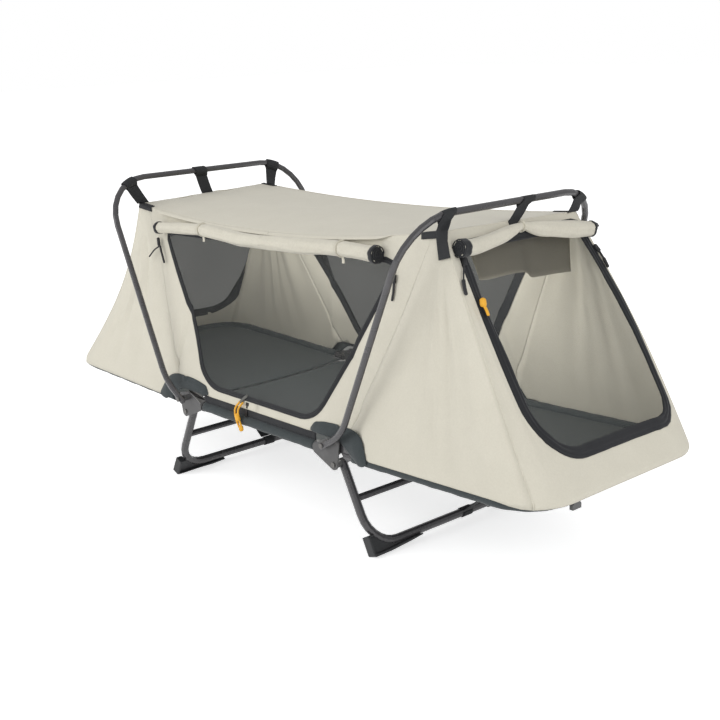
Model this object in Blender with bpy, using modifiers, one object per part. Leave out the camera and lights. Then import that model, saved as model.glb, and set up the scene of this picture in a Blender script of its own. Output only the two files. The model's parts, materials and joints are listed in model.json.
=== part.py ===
"""Tent cot: a three-section folding cot with two hoops that carry a sewn canopy.

Metres, +Z up. X runs along the bed, Y across it, and the origin is on the ground under the middle of the bed.
"""

import math

import bmesh
import bpy
from mathutils import Matrix, Vector

# Fits
GAP = 0.0003
SLIDE_GAP = 0.001
SLIDER_GAP = 0.0005
STRAP_EASE = 0.0008
OVERRUN = 0.004

# Bed frame
BED_HALF_LENGTH = 1.0675
BED_HALF_WIDTH = 0.341
RAIL_HEIGHT = 0.280
RAIL_RADIUS = 0.0125
END_RISE = 0.021
END_CORNER_RADIUS = 0.120
FOLD_X = 0.375
END_RAIL_START = 0.022

# How far above the rails each end section's hinge lies, so that the two fold flat on top of each other
LEFT_HINGE_LIFT = 0.018
RIGHT_HINGE_LIFT = 0.034
END_HINGE_LIFTS = {"left": LEFT_HINGE_LIFT, "right": RIGHT_HINGE_LIFT}

# Hoops
HOOP_RADIUS = 0.0095
HOOP_TOP = 0.960
HOOP_BAR_X = 0.694
HOOP_PIVOT_INSET = 0.039
HOOP_PIVOT_LIFT = 0.023
HOOP_PIVOT_X = FOLD_X - HOOP_PIVOT_INSET
HOOP_PIVOT_HEIGHT = RAIL_HEIGHT + HOOP_PIVOT_LIFT
HOOP_LEAN = math.radians(65.3)
HOOP_BASE_LEAN = math.radians(30)
HOOP_BEND_RADIUS = 0.150
HOOP_CORNER_RADIUS = 0.150
HOOP_TAIL = 0.014
LEFT_HOOP_OUTSET = 0.0485
RIGHT_HOOP_OUTSET = 0.028
HOOP_HALF_WIDTHS = {"left": BED_HALF_WIDTH + LEFT_HOOP_OUTSET, "right": BED_HALF_WIDTH + RIGHT_HOOP_OUTSET}

# Legs
LEG_RADIUS = 0.0125
LEG_INSET = 0.017
LEG_PIVOT_INSET = 0.0135
LEG_PIVOT_DROP = 0.031
LEG_SPREAD = 0.1131
LEG_HALF_WIDTH = BED_HALF_WIDTH - LEG_INSET
LEG_PIVOT_X = FOLD_X - LEG_PIVOT_INSET
LEG_PIVOT_HEIGHT = RAIL_HEIGHT - LEG_PIVOT_DROP
LEG_BAR_X = LEG_PIVOT_X + LEG_SPREAD
LEG_BAR_HEIGHT = 0.025
LEG_CORNER_RADIUS = 0.095
LEG_TAIL = 0.012
CROSS_BAR_RADIUS = 0.010
CROSS_BAR_HEIGHT = 0.152

# Knuckles
SOCKET_WALL = 0.004
SOCKET_FLOOR = 0.010
SOCKET_LENGTH = 0.068
SOCKET_INSET = 0.035
SOCKET_OUTER_X = FOLD_X - SOCKET_INSET
SOCKET_INNER_X = SOCKET_OUTER_X - SOCKET_LENGTH
OUTER_PLATE_FACE = BED_HALF_WIDTH + RAIL_RADIUS + SLIDE_GAP
OUTER_PLATE = 0.004
INNER_PLATE_FACE = BED_HALF_WIDTH - RAIL_RADIUS - SLIDE_GAP
INNER_PLATE = 0.005
HOOP_LOBE = 0.015
END_LOBE = 0.013
LEG_LOBE = 0.016
LEG_BOSS_RADIUS = 0.012
TONGUE = 0.016
TONGUE_LOBE = 0.011
TONGUE_LAP = 0.020

# Pins
PIN_RADIUS = 0.004
PIN_HEAD_RADIUS = 0.0075
PIN_HEAD = 0.003

# Feet
FOOT_THICKNESS = 0.029
FOOT_REACH = 0.175
FOOT_TOE = 0.034
FOOT_RISE = 0.030
FOOT_OUTSET = 0.008
FOOT_SLEEVE = 0.0035
FOOT_STEPS = 6

# Bed fabric
SLEEVE_WALL = 0.002
DECK_THICKNESS = 0.004
DECK_SAG = 0.010
DECK_SIDE_GAP = 0.026
DECK_FOLD_GAP = 0.003

# Canopy
CLOTH = 0.003
ROOF_HALF_LENGTH = 0.6994
ROOF_SIDE_INSET = 0.0827
ROOF_HALF_WIDTH = BED_HALF_WIDTH - ROOF_SIDE_INSET
ROOF_LEFT_NEAR = 0.872
ROOF_LEFT_FAR = 0.884
ROOF_RIGHT_NEAR = 0.916
ROOF_RIGHT_FAR = 0.903
ROOF_CORNER_HEIGHTS = {
    ("left", "near"): ROOF_LEFT_NEAR,
    ("left", "far"): ROOF_LEFT_FAR,
    ("right", "near"): ROOF_RIGHT_NEAR,
    ("right", "far"): ROOF_RIGHT_FAR,
}
ROOF_SAG = 0.020
ROOF_NEAR_SAG = 0.048
ROOF_FAR_SAG = 0.026
ROOF_END_DRAW = 0.006
WALL_DRAW = 0.010
WALL_TOP_GAP = 0.0024
SEAM_GAP = 0.004
SKIRT_STANDOFF = 0.0032
SKIRT_TURN = math.radians(80)
NOTCH_INSET = 0.113
NOTCH_REACH = 0.057
NOTCH_RISE = 0.035
KNUCKLE_NOTCH = (FOLD_X - NOTCH_INSET, FOLD_X + NOTCH_REACH)
KNUCKLE_NOTCH_HEIGHT = HOOP_PIVOT_HEIGHT + NOTCH_RISE

# Side doors, as corners in x and height
DOOR_BOTTOM = 0.343
DOOR_BOTTOM_REACH = 0.262
DOOR_LEFT_REACH = 0.530
DOOR_LEFT_TOP = 0.780
DOOR_RIGHT_REACH = 0.545
DOOR_RIGHT_TOP = 0.818
DOOR_TOP_RADIUS = 0.015
DOOR_BOTTOM_RADIUS = 0.120
DOOR_CORNERS = [
    (-DOOR_LEFT_REACH, DOOR_LEFT_TOP),
    (-DOOR_BOTTOM_REACH, DOOR_BOTTOM),
    (DOOR_BOTTOM_REACH, DOOR_BOTTOM),
    (DOOR_RIGHT_REACH, DOOR_RIGHT_TOP),
]
DOOR_RADII = [DOOR_TOP_RADIUS, DOOR_BOTTOM_RADIUS, DOOR_BOTTOM_RADIUS, DOOR_TOP_RADIUS]
DOOR_EDGE_GAP = 0.0003

# End windows, as corners in y and height
WINDOW_TOP = 0.836
WINDOW_BOTTOM = 0.385
WINDOW_NEAR_TOP_MARGIN = 0.0363
WINDOW_NEAR_MARGIN = 0.101
WINDOW_FAR_MARGIN = 0.079
WINDOW_FAR_TOP_MARGIN = 0.0113
WINDOW_TOP_RADIUS = 0.012
WINDOW_NEAR_RADIUS = 0.125
WINDOW_FAR_RADIUS = 0.048
LEFT_WINDOW_TOP_DROP = 0.030
WINDOW_CORNERS = [
    (WINDOW_NEAR_TOP_MARGIN - ROOF_HALF_WIDTH, WINDOW_TOP),
    (WINDOW_NEAR_MARGIN - BED_HALF_WIDTH, WINDOW_BOTTOM),
    (BED_HALF_WIDTH - WINDOW_FAR_MARGIN, WINDOW_BOTTOM),
    (ROOF_HALF_WIDTH - WINDOW_FAR_TOP_MARGIN, WINDOW_TOP),
]
WINDOW_RADII = [WINDOW_TOP_RADIUS, WINDOW_NEAR_RADIUS, WINDOW_FAR_RADIUS, WINDOW_TOP_RADIUS]
WINDOW_TOP_DROPS = {"left": LEFT_WINDOW_TOP_DROP, "right": 0}

# Rolled covers: shares of the roof's half length and of the drop from the roll's highest line, and shares of the
# roof's half width and of the drop below the roof's edge
SIDE_ROLL_RADIUS = 0.019
SIDE_ROLL_TOP = 0.841
SIDE_ROLL_DROP = 0.032
SIDE_ROLL_SHARES = [(-0.790, 1), (-0.458, 0.44), (-0.163, 0.70), (0.240, 0.38), (0.485, 0.06), (0.700, 0)]
SIDE_ROLL_LINE = [(x * ROOF_HALF_LENGTH, SIDE_ROLL_TOP - drop * SIDE_ROLL_DROP) for x, drop in SIDE_ROLL_SHARES]
END_ROLL_RADIUS = 0.018
END_ROLL_DROP = 0.047
END_ROLL_SHARES = [(-0.844, 0.94), (-0.608, 1), (-0.368, 0.85), (0.031, 0.45), (0.527, 0.72), (0.960, 0.95)]
END_ROLL_LINE = [(y * ROOF_HALF_WIDTH, drop * END_ROLL_DROP) for y, drop in END_ROLL_SHARES]
ROLL_STANDOFF = 0.0021
ROLL_NECK_SHARE = 0.72

# Webbing: where the hanging straps cross the hoops' bars, as shares of a hoop's half width, and where they meet
# the roof, as shares of its half width
WEBBING = 0.0022
STRAP_WIDTH = 0.046
STRAP_BAR_SHARES = {
    ("left", "near"): -0.770,
    ("left", "middle"): -0.046,
    ("left", "far"): 0.745,
    ("right", "near"): -0.640,
    ("right", "middle"): 0.163,
    ("right", "far"): 0.791,
}
STRAP_BAR_PLACES = {key: share * HOOP_HALF_WIDTHS[key[0]] for key, share in STRAP_BAR_SHARES.items()}
STRAP_ROOF_SHARES = {"near": -0.949, "middle": 0.039, "far": 0.949}
STRAP_ROOF_PLACES = {key: share * ROOF_HALF_WIDTH for key, share in STRAP_ROOF_SHARES.items()}
LEG_STRAP_Y = 0.045
LEG_STRAP_WIDTH = 0.038
LEG_STRAP_RUN = 0.395
LEG_STRAP_END_X = FOLD_X + LEG_STRAP_RUN

# Gussets over the knuckles
GUSSET_SHIFT = 0.020
GUSSET_CENTRE_X = FOLD_X - GUSSET_SHIFT
GUSSET_HALF_LENGTH = 0.126
GUSSET_HEIGHT = 0.052
GUSSET_THICKNESS = 0.0025
GUSSET_FACE = OUTER_PLATE_FACE - GAP - GUSSET_THICKNESS
GUSSET_BORE = 0.0065

# Zip sliders
SLIDER_LENGTH = 0.014
SLIDER_DEPTH = 0.006
SLIDER_HEIGHT = 0.010
SLIDER_SIZE = (SLIDER_LENGTH, SLIDER_DEPTH, SLIDER_HEIGHT)
PULL_LENGTH = 0.034
PULL_WIDTH = 0.007
PULL_THICKNESS = 0.0025
DOOR_SLIDER_X = -0.050
WINDOW_SLIDER_HEIGHT = 0.745
BORDER_WIDTH = 0.022

# Smoothness
ROUND_SIDES = 16
TUBE_SIDES_SETTING = 3
BEND_STEPS = 7
OUTLINE_STEPS = 6
SEARCH_STEPS = 12

SIDES = {"near": -1, "far": 1}
ENDS = {"left": -1, "right": 1}

COLOURS = {
    "frame": ((0.090, 0.085, 0.090), 0.38, 0.60),
    "casting": ((0.130, 0.125, 0.120), 0.50, 0.30),
    "rivet": ((0.45, 0.45, 0.44), 0.30, 1.00),
    "rubber": ((0.030, 0.032, 0.033), 0.75, 0.00),
    "bed_cloth": ((0.045, 0.055, 0.058), 0.85, 0.00),
    "tent_cloth": ((0.690, 0.660, 0.560), 0.90, 0.00),
    "mesh": ((0.060, 0.062, 0.060), 0.90, 0.00),
    "webbing": ((0.022, 0.024, 0.026), 0.85, 0.00),
    "slider": ((0.030, 0.030, 0.032), 0.40, 0.50),
}


def clear_scene():
    """Removes every object that the file opened with."""
    for thing in list(bpy.data.objects):
        bpy.data.objects.remove(thing, do_unlink=True)


def new_collection(name):
    """A collection linked to the scene."""
    made = bpy.data.collections.new(name)
    bpy.context.scene.collection.children.link(made)
    return made


def material(slot):
    """The Principled material of a slot, made once."""
    if slot in bpy.data.materials:
        return bpy.data.materials[slot]
    colour, roughness, metallic = COLOURS[slot]
    made = bpy.data.materials.new(slot)
    made.use_nodes = True
    shader = made.node_tree.nodes["Principled BSDF"]
    shader.inputs["Base Color"].default_value = (*colour, 1)
    shader.inputs["Roughness"].default_value = roughness
    shader.inputs["Metallic"].default_value = metallic
    made.diffuse_color = (*colour, 1)
    return made


clear_scene()
PARTS = new_collection("tent_cot")
TOOLS = new_collection("cutters")


def finish(thing, slot, parent=None):
    """Puts an object among the parts, dressed and parented without moving it."""
    for holder in list(thing.users_collection):
        holder.objects.unlink(thing)
    PARTS.objects.link(thing)
    thing.data.materials.clear()
    thing.data.materials.append(material(slot))
    if parent is not None:
        thing.parent = parent
        thing.matrix_parent_inverse = parent.matrix_world.inverted()
    return thing


def as_tool(thing):
    """Puts an object among the cutters."""
    for holder in list(thing.users_collection):
        holder.objects.unlink(thing)
    TOOLS.objects.link(thing)
    thing.hide_render = True
    thing.display_type = "WIRE"
    return thing


def pivot(name, place):
    """An empty on a joint's axis."""
    empty = bpy.data.objects.new(name, None)
    PARTS.objects.link(empty)
    empty.location = place
    bpy.context.view_layer.update()
    return empty


def mesh_object(name, built):
    """An object from a bmesh."""
    mesh = bpy.data.meshes.new(name)
    bmesh.ops.recalc_face_normals(built, faces=built.faces)
    built.to_mesh(mesh)
    built.free()
    thing = bpy.data.objects.new(name, mesh)
    TOOLS.objects.link(thing)
    return thing


def curve_to_mesh(curve):
    """A mesh object in place of a curve object, with its caps welded on."""
    bpy.context.view_layer.update()
    seen = curve.evaluated_get(bpy.context.evaluated_depsgraph_get())
    mesh = bpy.data.meshes.new_from_object(seen)
    built = bmesh.new()
    built.from_mesh(mesh)
    bmesh.ops.remove_doubles(built, verts=built.verts, dist=GAP / 10)
    bmesh.ops.recalc_face_normals(built, faces=built.faces)
    built.to_mesh(mesh)
    built.free()
    name, old = curve.name, curve.data
    bpy.data.objects.remove(curve, do_unlink=True)
    bpy.data.curves.remove(old)
    thing = bpy.data.objects.new(name, mesh)
    TOOLS.objects.link(thing)
    return thing


def tube(name, points, radius, radii=None):
    """A round bar along a list of points."""
    curve = bpy.data.curves.new(name, "CURVE")
    curve.dimensions = "3D"
    curve.bevel_depth = radius
    curve.bevel_resolution = TUBE_SIDES_SETTING
    curve.use_fill_caps = True
    spline = curve.splines.new("POLY")
    spline.points.add(len(points) - 1)
    for n, place in enumerate(points):
        spline.points[n].co = (*place, 1)
        if radii:
            spline.points[n].radius = radii[n]
    thing = bpy.data.objects.new(name, curve)
    TOOLS.objects.link(thing)
    return curve_to_mesh(thing)


def plate(name, outline, thickness, frame=None):
    """A flat plate: an outline in a plane, thickened evenly to both sides, then placed by a matrix."""
    curve = bpy.data.curves.new(name, "CURVE")
    curve.dimensions = "2D"
    curve.fill_mode = "BOTH"
    curve.extrude = thickness / 2
    spline = curve.splines.new("POLY")
    spline.points.add(len(outline) - 1)
    for n, (u, v) in enumerate(outline):
        spline.points[n].co = (u, v, 0, 1)
    spline.use_cyclic_u = True
    thing = bpy.data.objects.new(name, curve)
    TOOLS.objects.link(thing)
    made = curve_to_mesh(thing)
    if frame is not None:
        made.data.transform(frame)
    return made


def cylinder(name, radius, start, end, sides=ROUND_SIDES):
    """A round bar between two points."""
    start, end = Vector(start), Vector(end)
    run = end - start
    built = bmesh.new()
    turn = run.to_track_quat("Z", "Y").to_matrix().to_4x4()
    bmesh.ops.create_cone(
        built,
        cap_ends=True,
        segments=sides,
        radius1=radius,
        radius2=radius,
        depth=run.length,
        matrix=Matrix.Translation((start + end) / 2) @ turn,
    )
    return mesh_object(name, built)


def box(name, low, high):
    """A block between two corners."""
    low, high = Vector(low), Vector(high)
    built = bmesh.new()
    size = high - low
    bmesh.ops.create_cube(
        built,
        size=1,
        matrix=Matrix.Translation((low + high) / 2) @ Matrix.Diagonal((*size, 1)),
    )
    return mesh_object(name, built)


def combine(target, tools, operation):
    """Adds one Boolean for each tool."""
    for n, tool in enumerate(tools):
        step = target.modifiers.new(f"{operation.lower()}_{n}", "BOOLEAN")
        step.operation = operation
        step.solver = "EXACT"
        step.object = as_tool(tool)
    return target


def baked(thing):
    """The object with its modifiers made real, so that it can be copied or cut further."""
    bpy.context.view_layer.update()
    seen = thing.evaluated_get(bpy.context.evaluated_depsgraph_get())
    mesh = bpy.data.meshes.new_from_object(seen)
    thing.modifiers.clear()
    thing.data = mesh
    return thing


def sheet(name, place, columns, rows, thickness=CLOTH):
    """A cloth panel: place(u, v) gives its middle surface for u and v from -1 to 1."""
    built = bmesh.new()
    bmesh.ops.create_grid(built, x_segments=columns, y_segments=rows, size=1)
    for corner in built.verts:
        corner.co = place(corner.co.x, corner.co.y)
    thing = mesh_object(name, built)
    wall = thing.modifiers.new("thickness", "SOLIDIFY")
    wall.thickness = thickness
    wall.offset = 0
    return baked(thing)


def strip(name, stations, thickness):
    """A webbing strip through stations, each a middle point, a half-width vector and a face direction."""
    built = bmesh.new()
    rings = []
    for middle, half, face in stations:
        out = Vector(face).normalized() * thickness / 2
        middle, half = Vector(middle), Vector(half)
        corners = [middle - half - out, middle + half - out, middle + half + out, middle - half + out]
        rings.append([built.verts.new(c) for c in corners])
    for first, second in zip(rings, rings[1:]):
        for n in range(4):
            m = (n + 1) % 4
            built.faces.new((first[n], first[m], second[m], second[n]))
    built.faces.new(rings[0])
    built.faces.new(rings[-1])
    return mesh_object(name, built)


def mix(a, b, share):
    """The value a share of the way from a to b."""
    return a + (b - a) * share


def rounded_path(corners, radii, steps=BEND_STEPS):
    """Points along straight runs whose corners are rounded to the given radii."""
    corners = [Vector(c) for c in corners]
    points = [corners[0]]
    for before, here, after, radius in zip(corners, corners[1:], corners[2:], radii):
        into = (before - here).normalized()
        away = (after - here).normalized()
        half = into.angle(away) / 2
        reach = radius / math.tan(half)
        centre = here + (into + away).normalized() * radius / math.sin(half)
        start = here + into * reach - centre
        end = here + away * reach - centre
        swing = start.angle(end)
        for n in range(steps + 1):
            share = n / steps
            part = math.sin((1 - share) * swing) * start + math.sin(share * swing) * end
            points.append(centre + part / math.sin(swing))
    points.append(corners[-1])
    return points


def rounded_outline(corners, radii, steps=OUTLINE_STEPS):
    """A closed outline whose corners are rounded to the given radii."""
    count = len(corners)
    flat = [Vector((u, v, 0)) for u, v in corners]
    points = []
    for n in range(count):
        piece = rounded_path([flat[n - 1], flat[n], flat[(n + 1) % count]], [radii[n]], steps)
        points += [(p.x, p.y) for p in piece[1:-1]]
    return points


def inset(corners, distance):
    """The corners of an outline drawn in on all sides; the outline runs anticlockwise."""
    moved = []
    count = len(corners)
    for n in range(count):
        before, here, after = (Vector(corners[(n + k) % count]) for k in (-1, 0, 1))
        into, away = (here - before).normalized(), (after - here).normalized()
        left_in, left_out = Vector((-into.y, into.x)), Vector((-away.y, away.x))
        middle = (left_in + left_out).normalized()
        moved.append(tuple(here + middle * distance / middle.dot(left_in)))
    return moved


def lobes(circles, steps=OUTLINE_STEPS):
    """The outline around a loop of circles, each (u, v, radius), taken anticlockwise with straight outer tangents."""
    count = len(circles)
    points = []
    for n in range(count):
        u, v, radius = circles[n]
        here = Vector((u, v))
        turns = []
        for other, sign in ((circles[n - 1], -1), (circles[(n + 1) % count], 1)):
            run = (Vector(other[:2]) - here) * sign
            tilt = math.asin(max(-1, min(1, (radius - other[2]) * sign / run.length)))
            turns.append(math.atan2(run.y, run.x) - math.pi / 2 + tilt)
        sweep = (turns[1] - turns[0]) % (2 * math.pi)
        for k in range(steps + 1):
            turn = turns[0] + sweep * k / steps
            points.append((u + radius * math.cos(turn), v + radius * math.sin(turn)))
    return points


def upright(end_sign, y):
    """A matrix that stands an outline in x and height up across Y, mirrored for the left end."""
    return Matrix(((end_sign, 0, 0, 0), (0, 0, -1, y), (0, 1, 0, 0), (0, 0, 0, 1)))


def hinge_height(end):
    """The height of an end section's hinge."""
    return RAIL_HEIGHT + END_HINGE_LIFTS[end]


def rail_height(x):
    """The height of the rails' centre line at a distance along the bed."""
    past = max(0.0, abs(x) - FOLD_X) / (BED_HALF_LENGTH - FOLD_X)
    return RAIL_HEIGHT + END_RISE * past


def hoop_path(end):
    """The centre line of a hoop, from its near pivot to its far one."""
    sign = ENDS[end]
    y = HOOP_HALF_WIDTHS[end]
    slope = 1 / math.tan(HOOP_LEAN)
    rise = math.tan(HOOP_BASE_LEAN)
    foot_x = HOOP_BAR_X - slope * HOOP_TOP
    corner_x = (foot_x + slope * (HOOP_PIVOT_HEIGHT - rise * HOOP_PIVOT_X)) / (1 - slope * rise)
    corner_z = HOOP_PIVOT_HEIGHT + rise * (corner_x - HOOP_PIVOT_X)
    tail_x = HOOP_PIVOT_X - HOOP_TAIL * math.cos(HOOP_BASE_LEAN)
    tail_z = HOOP_PIVOT_HEIGHT - HOOP_TAIL * math.sin(HOOP_BASE_LEAN)
    near = [
        (sign * tail_x, -y, tail_z),
        (sign * corner_x, -y, corner_z),
        (sign * HOOP_BAR_X, -y, HOOP_TOP),
    ]
    far = [(x, -y, z) for x, y, z in reversed(near)]
    radii = [HOOP_BEND_RADIUS, HOOP_CORNER_RADIUS, HOOP_CORNER_RADIUS, HOOP_BEND_RADIUS]
    return rounded_path(near + far, radii)


def end_rail_corners(end):
    """The sharp corners of an end section's rail, from its near hinge end to its far one."""
    sign = ENDS[end]
    start = FOLD_X + END_RAIL_START
    near = [
        (sign * start, -BED_HALF_WIDTH, rail_height(start)),
        (sign * BED_HALF_LENGTH, -BED_HALF_WIDTH, rail_height(BED_HALF_LENGTH)),
    ]
    return near + [(x, -y, z) for x, y, z in reversed(near)]


def leg_direction():
    """The direction from a right leg's pivot down to its ground bar, in x and height."""
    return Vector((LEG_BAR_X - LEG_PIVOT_X, LEG_BAR_HEIGHT - LEG_PIVOT_HEIGHT)).normalized()


def leg_corners(end, tail=LEG_TAIL):
    """The sharp corners of a leg's tube, from its near pivot to its far one."""
    sign = ENDS[end]
    down = leg_direction()
    near = [
        (sign * (LEG_PIVOT_X - tail * down.x), -LEG_HALF_WIDTH, LEG_PIVOT_HEIGHT - tail * down.y),
        (sign * LEG_BAR_X, -LEG_HALF_WIDTH, LEG_BAR_HEIGHT),
    ]
    return near + [(x, -y, z) for x, y, z in reversed(near)]


def make_middle_rails():
    """The two straight rails between the knuckles."""
    reach = SOCKET_OUTER_X - SOCKET_FLOOR - GAP
    for side, y in SIDES.items():
        ends = [(-reach, y * BED_HALF_WIDTH, RAIL_HEIGHT), (reach, y * BED_HALF_WIDTH, RAIL_HEIGHT)]
        finish(tube(f"middle_rail_{side}", ends, RAIL_RADIUS), "frame")


def make_knuckle(end, side):
    """A cast corner: a socket for the middle rail, and plates that carry the hoop, the end section and the leg."""
    sx, sy = ENDS[end], SIDES[side]
    name = f"knuckle_{side}_{end}"
    high = hinge_height(end)
    socket_radius = RAIL_RADIUS + GAP + SOCKET_WALL
    line = sy * BED_HALF_WIDTH
    body = cylinder(
        name,
        socket_radius,
        (sx * SOCKET_INNER_X, line, RAIL_HEIGHT),
        (sx * SOCKET_OUTER_X, line, RAIL_HEIGHT),
    )
    outline = lobes(
        [
            (SOCKET_INNER_X + socket_radius, RAIL_HEIGHT, socket_radius - SLIDE_GAP),
            (LEG_PIVOT_X, LEG_PIVOT_HEIGHT, LEG_LOBE),
            (FOLD_X, high, END_LOBE),
            (HOOP_PIVOT_X, HOOP_PIVOT_HEIGHT, HOOP_LOBE),
        ]
    )
    middle = OUTER_PLATE_FACE + OUTER_PLATE / 2
    outer = plate(f"{name}_outer_plate", outline, OUTER_PLATE, upright(sx, sy * middle))
    inner_outline = lobes(
        [
            (SOCKET_INNER_X + socket_radius, RAIL_HEIGHT, socket_radius - SLIDE_GAP),
            (SOCKET_OUTER_X, RAIL_HEIGHT, socket_radius - SLIDE_GAP),
            (FOLD_X, high, END_LOBE),
        ]
    )
    inner_middle = INNER_PLATE_FACE - INNER_PLATE / 2
    inner = plate(f"{name}_inner_plate", inner_outline, INNER_PLATE, upright(sx, sy * inner_middle))
    boss_end = LEG_HALF_WIDTH + LEG_RADIUS + SLIDE_GAP
    leg_pivot = Vector((sx * LEG_PIVOT_X, 0, LEG_PIVOT_HEIGHT))
    boss = cylinder(
        f"{name}_leg_boss",
        LEG_BOSS_RADIUS,
        leg_pivot + Vector((0, sy * boss_end, 0)),
        leg_pivot + Vector((0, sy * middle, 0)),
    )
    hoop_pivot = Vector((sx * HOOP_PIVOT_X, 0, HOOP_PIVOT_HEIGHT))
    hoop_face = HOOP_HALF_WIDTHS[end] - HOOP_RADIUS - GAP
    hoop_boss = cylinder(
        f"{name}_hoop_boss",
        HOOP_RADIUS,
        hoop_pivot + Vector((0, sy * middle, 0)),
        hoop_pivot + Vector((0, sy * hoop_face, 0)),
    )
    combine(body, [outer, inner, boss, hoop_boss], "UNION")
    bore = cylinder(
        f"{name}_rail_bore",
        RAIL_RADIUS + GAP,
        (sx * (SOCKET_INNER_X - OVERRUN), line, RAIL_HEIGHT),
        (sx * (SOCKET_OUTER_X - SOCKET_FLOOR), line, RAIL_HEIGHT),
    )
    end_pivot = Vector((sx * FOLD_X, 0, high))
    cuts = [bore]
    for label, middle_point, start, stop in (
        ("leg", leg_pivot, boss_end - OVERRUN, OUTER_PLATE_FACE + OUTER_PLATE + OVERRUN),
        ("hoop", hoop_pivot, OUTER_PLATE_FACE - OVERRUN, hoop_face + OVERRUN),
        ("end", end_pivot, INNER_PLATE_FACE - INNER_PLATE - OVERRUN, OUTER_PLATE_FACE + OUTER_PLATE + OVERRUN),
    ):
        cuts.append(
            cylinder(
                f"{name}_{label}_bore",
                PIN_RADIUS + GAP,
                middle_point + Vector((0, sy * start, 0)),
                middle_point + Vector((0, sy * stop, 0)),
            )
        )
    combine(body, cuts, "DIFFERENCE")
    finish(body, "casting")


def make_pin(name, place, sy, low, high, head_inside, head_outside, parent):
    """A rivet along Y: its shank from low to high, with the heads that it has."""
    shank = cylinder(name, PIN_RADIUS, place + Vector((0, sy * low, 0)), place + Vector((0, sy * high, 0)))
    heads = []
    lap = PIN_HEAD / 2
    if head_inside:
        start, stop = low + lap, low - lap
        heads.append((start, stop))
    if head_outside:
        heads.append((high - lap, high + lap))
    tools = [
        cylinder(
            f"{name}_head_{n}",
            PIN_HEAD_RADIUS,
            place + Vector((0, sy * start, 0)),
            place + Vector((0, sy * stop, 0)),
        )
        for n, (start, stop) in enumerate(heads)
    ]
    combine(shank, tools, "UNION")
    finish(shank, "rivet", parent)


def make_hoop(end):
    """A hoop with its two cross-drilled feet, its pivot rivets, and the empty that it folds about."""
    sx = ENDS[end]
    axis = pivot(f"hoop_{end}_axis", (sx * HOOP_PIVOT_X, 0, HOOP_PIVOT_HEIGHT))
    hoop = tube(f"hoop_{end}", hoop_path(end), HOOP_RADIUS)
    width = HOOP_HALF_WIDTHS[end]
    cuts = [
        cylinder(
            f"hoop_{end}_bore_{side}",
            PIN_RADIUS + GAP,
            (sx * HOOP_PIVOT_X, sy * (width - HOOP_RADIUS - OVERRUN), HOOP_PIVOT_HEIGHT),
            (sx * HOOP_PIVOT_X, sy * (width + HOOP_RADIUS + OVERRUN), HOOP_PIVOT_HEIGHT),
        )
        for side, sy in SIDES.items()
    ]
    finish(combine(hoop, cuts, "DIFFERENCE"), "frame", axis)
    for side, sy in SIDES.items():
        make_pin(
            f"hoop_pin_{side}_{end}",
            Vector((sx * HOOP_PIVOT_X, 0, HOOP_PIVOT_HEIGHT)),
            sy,
            OUTER_PLATE_FACE + SLIDE_GAP,
            width + HOOP_RADIUS + PIN_HEAD / 2 + GAP,
            False,
            True,
            axis,
        )
    return axis


def make_leg(end):
    """A leg: a U tube with a cross bar, two rubber feet and two pivot rivets."""
    sx = ENDS[end]
    axis = pivot(f"leg_{end}_axis", (sx * LEG_PIVOT_X, 0, LEG_PIVOT_HEIGHT))
    radii = [LEG_CORNER_RADIUS, LEG_CORNER_RADIUS]
    leg = tube(f"leg_{end}", rounded_path(leg_corners(end), radii), LEG_RADIUS)
    share = (LEG_PIVOT_HEIGHT - CROSS_BAR_HEIGHT) / (LEG_PIVOT_HEIGHT - LEG_BAR_HEIGHT)
    bar_x = sx * mix(LEG_PIVOT_X, LEG_BAR_X, share)
    cross = tube(
        f"leg_{end}_cross_bar",
        [(bar_x, -LEG_HALF_WIDTH, CROSS_BAR_HEIGHT), (bar_x, LEG_HALF_WIDTH, CROSS_BAR_HEIGHT)],
        CROSS_BAR_RADIUS,
    )
    combine(leg, [cross], "UNION")
    bores = [
        cylinder(
            f"leg_{end}_bore_{side}",
            PIN_RADIUS + GAP,
            (sx * LEG_PIVOT_X, sy * (LEG_HALF_WIDTH - LEG_RADIUS - OVERRUN), LEG_PIVOT_HEIGHT),
            (sx * LEG_PIVOT_X, sy * (LEG_HALF_WIDTH + LEG_RADIUS + OVERRUN), LEG_PIVOT_HEIGHT),
        )
        for side, sy in SIDES.items()
    ]
    combine(leg, bores, "DIFFERENCE")
    finish(leg, "frame", axis)
    for side, sy in SIDES.items():
        make_pin(
            f"leg_pin_{side}_{end}",
            Vector((sx * LEG_PIVOT_X, 0, LEG_PIVOT_HEIGHT)),
            sy,
            LEG_HALF_WIDTH - LEG_RADIUS - PIN_HEAD / 2 - GAP,
            OUTER_PLATE_FACE + OUTER_PLATE + PIN_HEAD / 2 + GAP,
            True,
            True,
            axis,
        )
        make_foot(end, side, axis)
    return axis


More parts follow.
